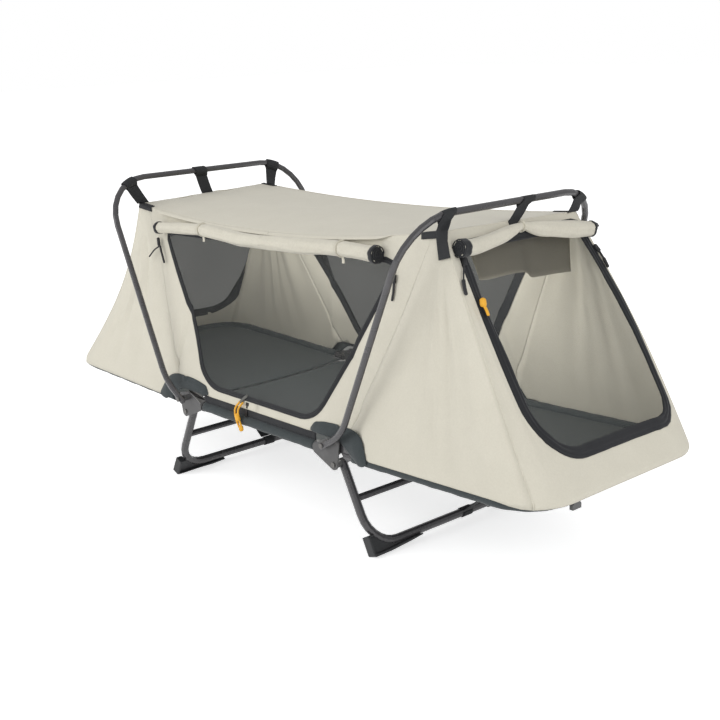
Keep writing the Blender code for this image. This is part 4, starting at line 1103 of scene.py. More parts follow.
@dataclass(frozen=True)
class EndWall(Wall):
    """A short wall, whose hem turns down over the outside of the end rail."""

    axis: int = 1
    middle_turn: float = math.radians(118)
    seam_spread: float = 0.15

    def rail(self, u: Array) -> tuple[Array, Array, Array, Array]:
        """The rail: straight across the end, then half of its corner; the hem turns furthest under it
        midway."""
        straight = COT.half_width - COT.corner_radius
        run, arc = self.round_rail(u, straight)
        turn = np.pi / 2 - arc
        arc_x, arc_y = self.corner(turn)
        y = np.where(run <= straight, run, arc_y)
        centre = np.stack([self.sign * arc_x, np.copysign(y, u), COT.rail_z(arc_x)], -1)
        facing = np.stack([self.sign * np.sin(turn), np.copysign(np.cos(turn), u), np.zeros_like(y)], -1)
        hem_turn = self.corner_turn + (self.middle_turn - self.corner_turn) * smooth(1 - np.abs(u), 0.0, 0.35)
        return centre, facing, np.full(y.shape, self.end_radius), hem_turn

    def ripple(self, along: Array, height: Array, rise: Array) -> Array:
        """Corner fans, and pull wrinkles that fan out between the window's bottom corners and the rail."""
        pull = np.sin(
            62 * along + 40 * (height - 0.34) * np.sign(along + 0.02) + 2.4 * np.sin(15 * along + self.seed)
        )
        fine = np.sin(141 * along - 30 * height + 3 * self.seed)
        corner = bell(np.hypot((np.abs(along) - 0.24) / 0.07, (height - 0.37) / 0.10), 0.0, 1.0)
        spread = np.sin(26 * np.arctan2(height - 0.47, 0.24 - np.abs(along)) + self.seed)
        total = 0.0017 * bell(rise, 0.055, 0.055) * (pull + 0.5 * fine) + 0.0026 * corner * spread
        return 0.7 * folds(along, height, COT.roof_half_width, self.seed) + total


@dataclass
class Opening:
    """A door or window: its outline on its wall, split at the middles of its four rounded corners."""

    corners: Sequence[tuple[float, float]]
    radii: Sequence[float]
    bows: Sequence[Sequence[tuple[float, float]]] = ((), ())
    per_side: int = 28
    loop: Array = field(init=False)

    def __post_init__(self) -> None:
        """Works the outline out once: top, then the side at the positive end, the bottom, and the other
        side."""
        self.loop = outline_loop(self.corners, self.radii, self.per_side)
        middle = self.loop[self.per_side // 2, 0]
        reach = 0.6 * float(np.ptp(self.loop[:, 0])) / 2
        for sign, bow in zip((-1, 1), self.bows):
            if bow:
                heights, shifts = np.array(bow).T
                share = np.clip(sign * (self.loop[:, 0] - middle) / reach, 0, 1)
                self.loop[:, 0] += share * np.interp(self.loop[:, 1], heights, shifts)

    def offset(self, distance: Array) -> Array:
        """The outline moved outward, square to itself, by each of several distances."""
        ahead, behind = np.roll(self.loop, -1, axis=0), np.roll(self.loop, 1, axis=0)
        run = unit(ahead - behind)
        normal = np.stack([-run[:, 1], run[:, 0]], 1)
        middle = self.loop.mean(0)
        if ((self.loop - middle) * normal).sum() < 0:
            normal = -normal
        return self.loop[None] + normal[None] * np.asarray(distance, float)[:, None, None]

    def spokes(self, count: int) -> Array:
        """Rows from the outline in to its upright middle line, so that the panel is a grid in two halves."""
        middle = float(self.loop[self.per_side // 2, 0])
        low, high = self.loop[:, 1].min(), self.loop[:, 1].max()
        size = len(self.loop)
        place = (np.arange(size) - self.per_side / 2) / size
        share = np.abs(((place * 2 + 1) % 2) - 1)
        inner = np.stack([np.full(size, middle), high + (low - high) * share], 1)
        inner[:, 1] = np.clip(inner[:, 1], low, high - 0.01)
        return self.loop[None] + (inner - self.loop)[None] * np.linspace(0, 1, count)[:, None, None]


DOOR_BOW = (
    (0.41, 0.0), (0.45, 0.006), (0.50, 0.011), (0.55, 0.012), (0.62, 0.004), (0.68, -0.003), (0.74, -0.008),
    (0.80, -0.004),
)
WINDOW_BOW = (
    (0.39, 0.0), (0.45, 0.012), (0.53, 0.022), (0.60, 0.026), (0.68, 0.023), (0.76, 0.012), (0.84, 0.0)
)
DOOR = Opening(
    [(-0.538, 0.797), (0.549, 0.826), (0.262, 0.350), (-0.262, 0.350)], [0.015, 0.015, 0.120, 0.120],
    (DOOR_BOW, ())
)
WINDOWS = {
    end: Opening(
        [(-0.222, top), (0.246, top), (0.262, 0.385), (-0.240, 0.385)], [0.012, 0.012, 0.048, 0.125],
        ((), WINDOW_BOW)
    )
    for end, top in ((End.RIGHT, 0.876), (End.LEFT, 0.844))
}
SEAM_DRAWS = {
    (End.LEFT, Side.NEAR): (0.034, 0.020),
    (End.LEFT, Side.FAR): (0.034, 0.020),
    (End.RIGHT, Side.NEAR): (0.006, 0.004),
    (End.RIGHT, Side.FAR): (-0.012, -0.012),
}
SIDE_WALLS = {Side.NEAR: SideWall(-1, 0.7), Side.FAR: SideWall(1, 2.9)}
END_WALLS = {End.LEFT: EndWall(-1, 1.6), End.RIGHT: EndWall(1, 4.1)}


def loop_half(grid: Array, end: End, per_side: int) -> Array:
    """The columns of a closed outline grid that lie to one end of the bed, with the middle columns at both
    edges.

    Args:
        grid: Rows by loop points by coordinates, starting at the top corner of the left end.
        end: Which half.
        per_side: Points on each of the four sides.

    Returns:
        The half's columns, in order along the loop.
    """
    top, bottom = per_side // 2, per_side * 5 // 2
    if end is End.RIGHT:
        return grid[:, top : bottom + 1]
    return np.concatenate([grid[:, bottom:], grid[:, : top + 1]], axis=1)


@dataclass
class Canopy:
    """The sewn canopy: roof, walls, net doors and windows, bindings and rolled covers.

    What lies between the bed's middle and a hoop rides on that hoop.
    """

    cloth: float = 0.0016
    door_band: float = 0.016
    window_band: float = 0.028
    net_slack: float = 0.011
    facing: float = 0.022
    band_back: float = -0.0026
    net_lift: float = 0.0002
    net_keep: float = 0.03
    door_rise: tuple[float, float] = (0.343, 0.850)
    joint_row: float = 0.0008
    seam_radius: float = 0.0016
    tie_size: tuple[float, float] = (0.009, 0.0018)
    tab_size: tuple[float, float] = (0.011, 0.0022)
    tab_length: float = 0.020
    side_roll_gap: float = 0.0022
    end_roll_gap: float = 0.002
    edge_groove: float = 0.0045
    side_edge_length: float = 0.012
    end_edge_lengths: tuple[float, float] = (0.025, 0.012)
    end_swell: float = 1.11
    end_overlap: float = 0.002
    side_roll_line: Sequence[Point] = (
        (-0.560, 0.809, 0.0172), (-0.431, 0.820, 0.0185), (-0.320, 0.827, 0.0192), (-0.215, 0.823, 0.0205),
        (-0.114, 0.819, 0.0212), (0.031, 0.822, 0.0215), (0.168, 0.829, 0.0218), (0.255, 0.836, 0.0222),
        (0.339, 0.839, 0.0226), (0.489, 0.841, 0.0212),
    )
    end_roll_line: Sequence[Point] = (
        (-0.246, 0.0372, 0.0222), (-0.196, 0.0389, 0.0206), (-0.137, 0.0339, 0.0206), (-0.080, 0.0259, 0.019),
        (-0.019, 0.0166, 0.0150), (0.022, 0.0128, 0.0105), (0.060, 0.0206, 0.0185), (0.119, 0.0277, 0.0228),
        (0.174, 0.0340, 0.0235), (0.226, 0.0388, 0.0224), (0.276, 0.0430, 0.0205),
    )
    tie_places: tuple[float, float] = (-0.316, 0.341)
    flap_reach: float = 0.015
    flap_lengths: tuple[float, float] = (0.62, 0.53)
    left_roll_start: float = -0.205

    def build(self) -> None:
        """Makes every canopy piece."""
        self.roof()
        for side in Side:
            self.side_wall(side)
            self.door(side)
            self.side_roll(side)
            self.rain_flap(side)
        for end in End:
            self.end_wall(end)
            self.end_roll(end)
        self.pocket()
        self.seams()

    def carry(self, thing: bpy.types.Object, end: End, *nodes: str, sheet: bool = True) -> None:
        """Puts a canopy piece on its hoop, measured and given its thickness if it is a sheet, with its own
        copy of its mesh.
        """
        hoop = f"hoop_{end.word}"
        if sheet:
            fit_sheet(thing, self.cloth, [hoop], hoop, *nodes)
        else:
            ride(thing, hoop, *nodes)
        fold_with_hoop(thing)

    def roof(self) -> None:
        """The roof in two halves: the roof surface with shallow ripples between its straps."""
        rows = np.insert(np.linspace(0, 1, 60), 1, self.joint_row)
        for end in End:
            u, v = np.meshgrid(end.value * rows, np.linspace(-1, 1, 40), indexing="ij")
            points = ROOF.point(u, v)
            pucker = 0.0022 * bell(np.abs(u), 1.0, 0.25) * np.cos(v * 3 * np.pi) * (1 - v * v)
            points[..., 2] += pucker + 0.0012 * np.sin(9 * u + 4 * v) * (1 - v * v) * (1 - u * u)
            self.carry(TAN.dress(surface(f"roof_{end.word}_half", points, outward=UP)), end, "roof_panel")

    def hoop_edge(self, wall: SideWall, end: End, v: Array) -> Array:
        """The u of the line where a hoop's leg passes a side wall, for each v, by Newton's method."""

        def off(u: Array) -> Array:
            """How far places on the wall lie from the hoop's line, along the bed."""
            here = wall.point(u, v)
            return here[..., 0] - end.value * COT.hoop_x(here[..., 2])

        u = np.full(v.shape, 0.5 * end.value)
        for _ in range(NEWTON_STEPS):
            here = off(u)
            u = u - here * NEWTON_REACH / (off(u + NEWTON_REACH) - here)
        return u

    def side_wall(self, side: Side) -> None:
        """A side wall: a ring of cloth between the door's outline and the hoops' lines, in two halves, and
        a panel from each hoop's line to the corner seam."""
        wall, count = SIDE_WALLS[side], DOOR.per_side
        node = f"side_wall_{side.word}"
        v = np.linspace(1, -1, count + 1)
        right, left = self.hoop_edge(wall, End.RIGHT, v), self.hoop_edge(wall, End.LEFT, v)
        top = np.stack([np.linspace(left[0], right[0], count + 1), np.ones(count + 1)], 1)[:-1]
        bottom = np.stack([np.linspace(right[-1], left[-1], count + 1), -np.ones(count + 1)], 1)[:-1]
        outer = np.concatenate(
            [top, np.stack([right, v], 1)[:-1], bottom, np.stack([left[::-1], v[::-1]], 1)[:-1]]
        )
        inner = np.stack(wall.locate(DOOR.loop[:, 0], DOOR.loop[:, 1]), 1)
        share = (np.linspace(0, 1, 28) ** 1.3)[:, None, None]
        ring = inner[None] + (outer - inner)[None] * share
        for end in End:
            half = loop_half(ring, end, count)
            points = wall.point(half[..., 0], half[..., 1])
            self.carry(TAN.dress(surface(f"{node}_{end.word}_half", points, outward=wall.out())), end, node)
            edge = self.hoop_edge(wall, end, v)
            u = edge[None] + (end.value - edge)[None] * np.linspace(0, 1, 26)[:, None]
            points = wall.point(u, np.broadcast_to(v, u.shape))
            self.carry(TAN.dress(surface(f"{node}_{end.word}_gable", points, outward=wall.out())), end)

    def band(
        self, name: str, wall: Wall, opening: Opening, width: float, end: End | None
    ) -> bpy.types.Object:
        """A bound edge with a zip's coil along its middle: a low profile carried round an outline.

        Args:
            name: The object's name.
            wall: The wall that it is sewn to.
            opening: The outline that it follows.
            width: Its width.
            end: The half to make, or None for the whole loop.

        Returns:
            The band.
        """
        lifts = np.array([-8, 27, 31, 25, 26, 41, 41, 26, 25, 31, 27, -8]) * 1e-4
        offsets = (
            np.array([-0.5, -0.47, -0.30, -0.26, -0.12, -0.07, 0.07, 0.12, 0.26, 0.30, 0.47, 0.5]) * width
        )
        under = np.array([-0.3 * width, 0.006, 0.014, self.facing])
        faces = (("front", offsets, lifts, 1), ("facing", under, np.full(4, self.band_back), -1))
        parts: list[bpy.types.Object] = []
        for face, distances, heights, way in faces:
            rings = zip(opening.offset(distances), heights)
            points = np.stack([wall.at(ring[:, 0], ring[:, 1], height) for ring, height in rings])
            if end is not None:
                points = loop_half(points, end, opening.per_side)
            part = surface(f"{name}_{face}", points, close_columns=end is None, outward=way * wall.out())
            parts.append(BINDING.dress(part))
        return joined(name, parts)

    def door(self, side: Side) -> None:
        """A net door in two halves that turn on its bottom edge, inside its bound edge."""
        wall = SIDE_WALLS[side]
        spokes = DOOR.spokes(18)
        depth = np.linspace(0, 1, len(spokes))[:, None]
        foot, head = wall.at(np.zeros(2), np.array(self.door_rise))
        for end in End:
            half = loop_half(spokes, end, DOOR.per_side)
            along, height = half[..., 0], half[..., 1]
            crease = np.sin(34 * height - 13 * along + 3 * np.sin(6 * along)) * bell(height, 0.40, 0.13)
            slack = np.sin(0.5 * np.pi * np.clip(depth * 1.6, 0, 1)) * (self.net_slack + 0.0035 * crease)
            points = wall.at(along, height, self.net_lift) - slack[..., None] * wall.out()
            net = NET.dress(
                surface(f"door_net_{side.word}_{end.word}", points, outward=wall.out(), weld=True)
            )
            declare_sheet(net)
            ride(net, f"door_{side.word}", f"side_door_mesh_{side.word}")
            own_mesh(net)
            band = self.band(f"door_binding_{side.word}_{end.word}", wall, DOOR, self.door_band, end)
            self.carry(band, end, sheet=False)

    def end_wall(self, end: End) -> None:
        """An end wall: a ring of cloth between the window's outline and the wall's edges, the net, and its
        binding."""
        wall, window = END_WALLS[end], WINDOWS[end]
        run = np.linspace(-1, 1, window.per_side + 1)[:-1]
        edges = [np.stack([run, np.ones(len(run))], 1)]
        for _ in range(3):
            edges.append(np.stack([edges[-1][:, 1], -edges[-1][:, 0]], 1))
        inner = np.stack(wall.locate(window.loop[:, 0], window.loop[:, 1]), 1)
        share = (np.linspace(0, 1, 34) ** 1.4)[:, None, None]
        ring = inner[None] + (np.concatenate(edges) - inner)[None] * share
        points = wall.point(ring[..., 0], ring[..., 1])
        cloth = surface(f"end_wall_{end.word}_cloth", points, close_columns=True, outward=wall.out())
        self.carry(TAN.dress(cloth), end, f"end_wall_{end.word}")
        spokes = window.spokes(16)
        points = wall.at(spokes[..., 0], spokes[..., 1], self.net_lift)
        net = surface(f"window_net_{end.word}", points, close_columns=True, outward=wall.out(), weld=True)
        declare_sheet(NET.dress(net))
        self.carry(net, end, f"end_window_mesh_{end.word}", sheet=False)
        band = self.band(f"window_binding_{end.word}", wall, window, self.window_band, None)
        self.carry(band, end, sheet=False)

    def roll_surface(
        self,
        path: Array,
        radius: Array,
        reference: Sequence[float],
        seed: float,
        caps: tuple[bool, bool],
        groove: float = 0.0035,
    ) -> Array:
        """Rolled cloth: the radius grows by one cloth layer over a turn, so the outer edge shows as a lip,
        with lengthwise wrinkles; an end that shows is a spiral drawn by a sawtooth of radius and turn.

        Args:
            path: Its centre line.
            radius: Its radius at each point.
            reference: A direction square to the path.
            seed: A phase for the wrinkles.
            caps: Whether the first and last ends are closed with a spiral.
            groove: How deep the spiral's steps are.

        Returns:
            A grid of points whose columns go once round and meet.
        """
        turn = np.linspace(0, 2 * np.pi, 49)
        tangent, side, up = frames(path, reference)
        runs = arc_length(path)[:, None]
        wrinkle = 0.030 * np.sin(5 * turn[None] + 9 * runs + seed)
        wrinkle = wrinkle + 0.018 * np.sin(9 * turn[None] - 23 * runs + 2 * seed)
        wrinkle = wrinkle * np.sin(turn[None] / 2) ** 0.5
        size = radius[:, None] * (0.93 + 0.10 * turn[None] / (2 * np.pi) + wrinkle)
        ring = np.cos(turn)[None, :, None] * side[:, None] + np.sin(turn)[None, :, None] * up[:, None]
        parts = [path[:, None] + ring * size[..., None]]
        inward = np.linspace(1, 0, 14)[1:, None]
        saw = ((inward * 3.5 + turn[None] / (2 * np.pi)) % 1.0) * groove - groove * 0.85
        for k, way, wanted in zip((0, -1), (-tangent[0], tangent[-1]), caps):
            if wanted:
                disc = path[k] + ring[k][None] * (size[k][None] * inward)[..., None] + way * saw[..., None]
                parts = [*parts, disc] if k else [disc[::-1], *parts]
        return np.concatenate(parts)

    def tie(
        self, path: Array, at: Array, radius: float, reference: Sequence[float]
    ) -> list[bpy.types.Object]:
        """A narrow tie of the cover's own cloth round a roll, with its toggle end hanging below.

        Args:
            path: The roll's centre line.
            at: The point of the line that it goes round.
            radius: The roll's radius there.
            reference: A direction square to the path.

        Returns:
            The loop and its tab.
        """
        near = int(np.argmin(np.linalg.norm(path - at, axis=1)))
        tangent = unit(path[min(near + 2, len(path) - 1)] - path[max(near - 2, 0)])
        side = unit(np.cross(np.asarray(reference, float), tangent))
        up = np.cross(tangent, side)
        turn = np.linspace(0, 2 * np.pi, 37)[:, None]
        around = at + (np.cos(turn) * side + np.sin(turn) * up) * (radius + 0.0008)
        low = at - up * (radius + 0.0012)
        steps = np.linspace(0, 1, 9)[:, None]
        tail = low - up * steps * self.tab_length + side * (0.003 * np.sin(2.5 * steps))
        loop = surface(
            "tie_loop", sweep(around, slab(*self.tie_size), tangent), close_columns=True, weld=True
        )
        tab = surface("tie_tab", sweep(tail, slab(*self.tab_size), side), close_columns=True, weld=True)
        return [TAN.dress(loop), TAN.dress(tab)]

    def roll_end(self, name: str, path: Array, radius: Array, length: float, first: bool) -> bpy.types.Object:
        """The bound zip edge at a roll's end: the last stretch of the roll in black, a little fatter, with
        the wound layers showing as a spiral in its end."""
        if not first:
            path, radius = path[::-1], radius[::-1]
        keep = arc_length(path) <= length
        tip = path[:1] + unit(path[0] - path[1]) * self.end_overlap
        part, size = np.concatenate([tip, path[keep]]), radius[keep] * self.end_swell
        size = np.concatenate([size[:1], size])
        if not first:
            part, size = part[::-1], size[::-1]
        grid = self.roll_surface(part, size, UP, 0.4, (True, True), self.edge_groove)
        return BINDING.dress(surface(name, grid, weld=True))

    def side_roll(self, side: Side) -> None:
        """A side door's cover, rolled up above the door in two halves, held by a tie in each and black at
        its ends."""
        wall = SIDE_WALLS[side]
        line = np.array(self.side_roll_line)
        x = np.linspace(line[0, 0], line[-1, 0], 181)
        z = np.interp(x, line[:, 0], line[:, 1]) + 0.0008 * np.sin(21 * x)
        radius = (
            np.interp(x, line[:, 0], line[:, 2])
            * (1 + 0.04 * np.sin(17 * x + side.value) + 0.02 * np.sin(41 * x))
        )
        for place in self.tie_places:
            radius = radius * (1 - 0.12 * bell(x, place, 0.012))
        path = wall.at(x, z) + wall.out() * (radius + self.side_roll_gap)[:, None]
        middle = int(np.argmin(np.abs(x)))
        halves = (
            (End.LEFT, slice(0, middle + 1), (True, False)), (End.RIGHT, slice(middle, None), (False, True))
        )
        for (end, part, caps), place in zip(halves, self.tie_places):
            label = f"{side.word}_{end.word}"
            grid = self.roll_surface(path[part], radius[part], UP, 1.3 * side.value, caps)
            roll = TAN_ROLL.dress(surface(f"side_roll_{label}", grid, weld=True))
            self.carry(roll, end, f"side_cover_roll_{side.word}", sheet=False)
            near = int(np.argmin(np.abs(x - place)))
            ties = joined(f"side_ties_{label}", self.tie(path, path[near], float(radius[near]), UP))
            self.carry(ties, end, sheet=False)
            dark = self.roll_end(
                f"side_roll_edge_{label}", path, radius, self.side_edge_length, end is End.LEFT
            )
            self.carry(dark, end, sheet=False)

    def rain_flap(self, side: Side) -> None:
        """A narrow flap from the roof's long edge that slopes down over the roll, in two halves."""
        slope = unit(np.array([0.0, side.value * 0.86, -0.50]))
        lift = np.array([0.0, side.value * 0.0012, 0.0016])
        for end, reach in zip(End, self.flap_lengths):
            u = np.linspace(0, end.value * reach / COT.roof_half_length, 60)
            edge = ROOF.point(u, np.full(u.shape, float(side.value)))
            taper = smooth(reach - np.abs(edge[:, 0]), 0.0, 0.06)
            out = np.linspace(0, 1, 5)[:, None, None] * (self.flap_reach * taper)[None, :, None] * slope
            flap = surface(
                f"rain_flap_{side.word}_{end.word}", edge[None] + out + lift, outward=(0, side.value, 1)
            )
            self.carry(TAN.dress(flap), end)

    def end_roll(self, end: End) -> None:
        """An end window's cover, rolled up under the roof's edge, pinched by a tie near its middle, black
        at its ends."""
        wall = END_WALLS[end]
        line = np.array(self.end_roll_line)
        y = np.linspace(line[0, 0] if end is End.RIGHT else self.left_roll_start, line[-1, 0], 141)
        spread = np.linspace(0, len(line) - 1, 141)
        drop, radius = (eased(line[:, 0], line[:, k], y) for k in (1, 2))
        radius = radius * (1 + 0.03 * np.sin(31 * y + spread))
        z = ROOF.height(np.full(y.shape, float(end.value)), y / ROOF.half_width) - drop
        path = wall.at(y, z) + wall.out() * (radius * 1.10 + self.end_roll_gap)[:, None]
        grid = self.roll_surface(path, radius, UP, 2.2 * end.value, (True, True))
        roll = TAN_ROLL.dress(surface(f"end_roll_{end.word}", grid, weld=True))
        self.carry(roll, end, f"end_cover_roll_{end.word}", sheet=False)
        pinch = int(np.argmin(radius))
        ties = self.tie(path, path[pinch], float(radius[pinch]) * 1.05, UP)
        self.carry(joined(f"end_tie_{end.word}", ties), end, sheet=False)
        for where, length in zip(("near", "far"), self.end_edge_lengths):
            dark = self.roll_end(f"end_roll_edge_{end.word}_{where}", path, radius, length, where == "near")
            self.carry(dark, end, sheet=False)

    def pocket(self) -> None:
        """A cloth panel that hangs inside the right end window from the roof, with a fold lifted near its
        middle."""
        corners = np.array([(-0.165, 0.905), (0.262, 0.893), (0.268, 0.737), (-0.128, 0.772)])
        across, down = np.meshgrid(np.linspace(0, 1, 40), np.linspace(0, 1, 14), indexing="ij")
        top = corners[0] + (corners[1] - corners[0]) * across[..., None]
        low = corners[3] + (corners[2] - corners[3]) * across[..., None]
        place = top + (low - top) * down[..., None]
        lift = smooth(across, 0.05, 0.42) * (1 - smooth(across, 0.44, 0.56)) * down
        x = 0.676 + 0.014 * down + 0.004 * np.sin(11 * across + 2 * down) * down + 0.012 * lift
        z = place[..., 1] - 0.006 * np.sin(np.pi * across) * down + 0.018 * lift
        points = np.stack([x, place[..., 0] * (1 - 0.06 * down), z], -1)
        # The panel's tan is darkened as painted shade.
        self.carry(SHADED_POCKET_TAN.dress(surface("pocket_panel", points, outward=(1, 0, 0))), End.RIGHT)

    def seams(self) -> None:
        """Piped seams: a thin cord of cloth along the roof's edges and down each corner."""
        run = np.linspace(0, 1, 50)
        across = np.linspace(-1, 1, 50)
        for end in End:
            lines: list[tuple[Array, Point]] = []
            for side in Side:
                lines.append((ROOF.point(end.value * run, np.full(50, float(side.value))), UP))
                corner = SIDE_WALLS[side].point(np.full(60, float(end.value)), np.linspace(-1, 1, 60))
                lines.append((corner, (0.0, 1.0, 0.0)))
            lines.append((ROOF.point(np.full(50, float(end.value)), across), UP))
            cords = [
                TAN.dress(bar("seam", line, self.seam_radius, reference, 8))
                for line, reference in lines
            ]
            self.carry(joined(f"canopy_seams_{end.word}", cords), end, sheet=False)


# Bed cloth


@dataclass
class BedCloth:
    """The dark bed cloth: a sagging sheet in each section with a sleeve sewn round its rails."""

    sag: float = 0.010
    side_gap: float = 0.026
    underlap: float = 0.010
    thickness: float = 0.0022
    socket_x: float = 0.270
    sleeve_start: float = 0.432
    rail_gap: float = 0.0004
    hinge_gap: float = 0.003
    hinge_dip: float = 0.0048
    hinge_run: float = 0.014

    def build(self) -> None:
        """Makes the three sections."""
        self.middle()
        for end in End:
            self.end_section(end)

    def middle(self) -> None:
        """The middle sheet, a parabola between the rails, and its two sleeves with slow puckers."""
        u, v = np.meshgrid(np.linspace(-1, 1, 96), np.linspace(-1, 1, 40), indexing="ij")
        reach = np.where(
            np.abs(v) > 1 - self.side_gap / COT.half_width, self.socket_x, COT.fold_x + self.underlap
        )
        z = COT.rail_height - self.sag * (1 - v * v) + 0.0006 * np.sin(40 * v) * bell(np.abs(u), 1.0, 0.1)
        z = z - self.hinge_dip * smooth(np.abs(u) * reach, COT.fold_x - self.hinge_run, COT.fold_x)
        points = np.stack([u * reach, v * COT.half_width, z], -1)
        sheet = GREY.dress(surface("middle_bed_cloth", points, outward=UP))
        fit_sheet(sheet, self.thickness, ["middle_rail_near", "middle_rail_far"], "bed", "middle_deck")
        for side in Side:
            x = np.linspace(-self.socket_x, self.socket_x, 60)
            path = np.stack([x, np.full(60, side.value * COT.half_width), np.full(60, COT.rail_height)], 1)
            self.sleeve(f"middle_sleeve_{side.word}", path, "bed")

    def sleeve(self, name: str, path: Array, body: str) -> None:
        """A cloth tube round a rail, with small puckers along it."""
        turn = np.linspace(0, 2 * np.pi, 24, endpoint=False)
        runs = arc_length(path)[:, None]
        rings = sweep(path, circle(1.0, 24), UP) - path[:, None]
        swell = 0.0005 * np.sin(60 * runs + 2 * turn[None]) + 0.0003 * np.sin(130 * runs)
        grid = path[:, None] + rings * (COT.sleeve_radius + swell)[..., None]
        inner = path[:, None] + rings * (COT.rail_radius + self.rail_gap)
        closed = np.concatenate([inner[:1], grid, inner[-1:]])
        ride(GREY.dress(surface(name, closed, close_columns=True, weld=True)), body)

    def end_section(self, end: End) -> None:
        """An end section's sheet, which fills its U-shaped rail, and the sleeve along that rail."""
        body = f"end_section_{end.word}"
        u, v = np.meshgrid(np.linspace(0, 1, 50), np.linspace(-1, 1, 48), indexing="ij")
        x = COT.fold_x + self.hinge_gap + u * (COT.half_length - COT.fold_x - self.hinge_gap)
        past = np.clip(x - (COT.half_length - COT.corner_radius), 0, COT.corner_radius)
        half = COT.half_width - COT.corner_radius + np.sqrt(np.maximum(COT.corner_radius**2 - past**2, 0))
        half = np.where(x < self.sleeve_start, COT.half_width - self.side_gap, half)
        taut = np.clip((COT.half_length - x) / COT.corner_radius, 0, 1)
        points = np.stack([end.value * x, v * half, COT.rail_z(x) - self.sag * taut * (1 - v * v)], -1)
        sheet = GREY.dress(surface(f"end_bed_cloth_{end.word}", points, outward=UP))
        fit_sheet(sheet, self.thickness, [f"end_frame_{end.word}"], body, f"end_deck_{end.word}")
        near = [
            (end.value * self.sleeve_start, -COT.half_width, float(COT.rail_z(np.array(self.sleeve_start)))),
            (end.value * COT.half_length, -COT.half_width, COT.rail_height + COT.end_rise),
        ]
        corners = near + [(a, -b, c) for a, b, c in reversed(near)]
        path = spaced(rounded(corners, [COT.corner_radius] * 2), 180)
        self.sleeve(f"end_sleeve_{end.word}", path, body)


# Webbing


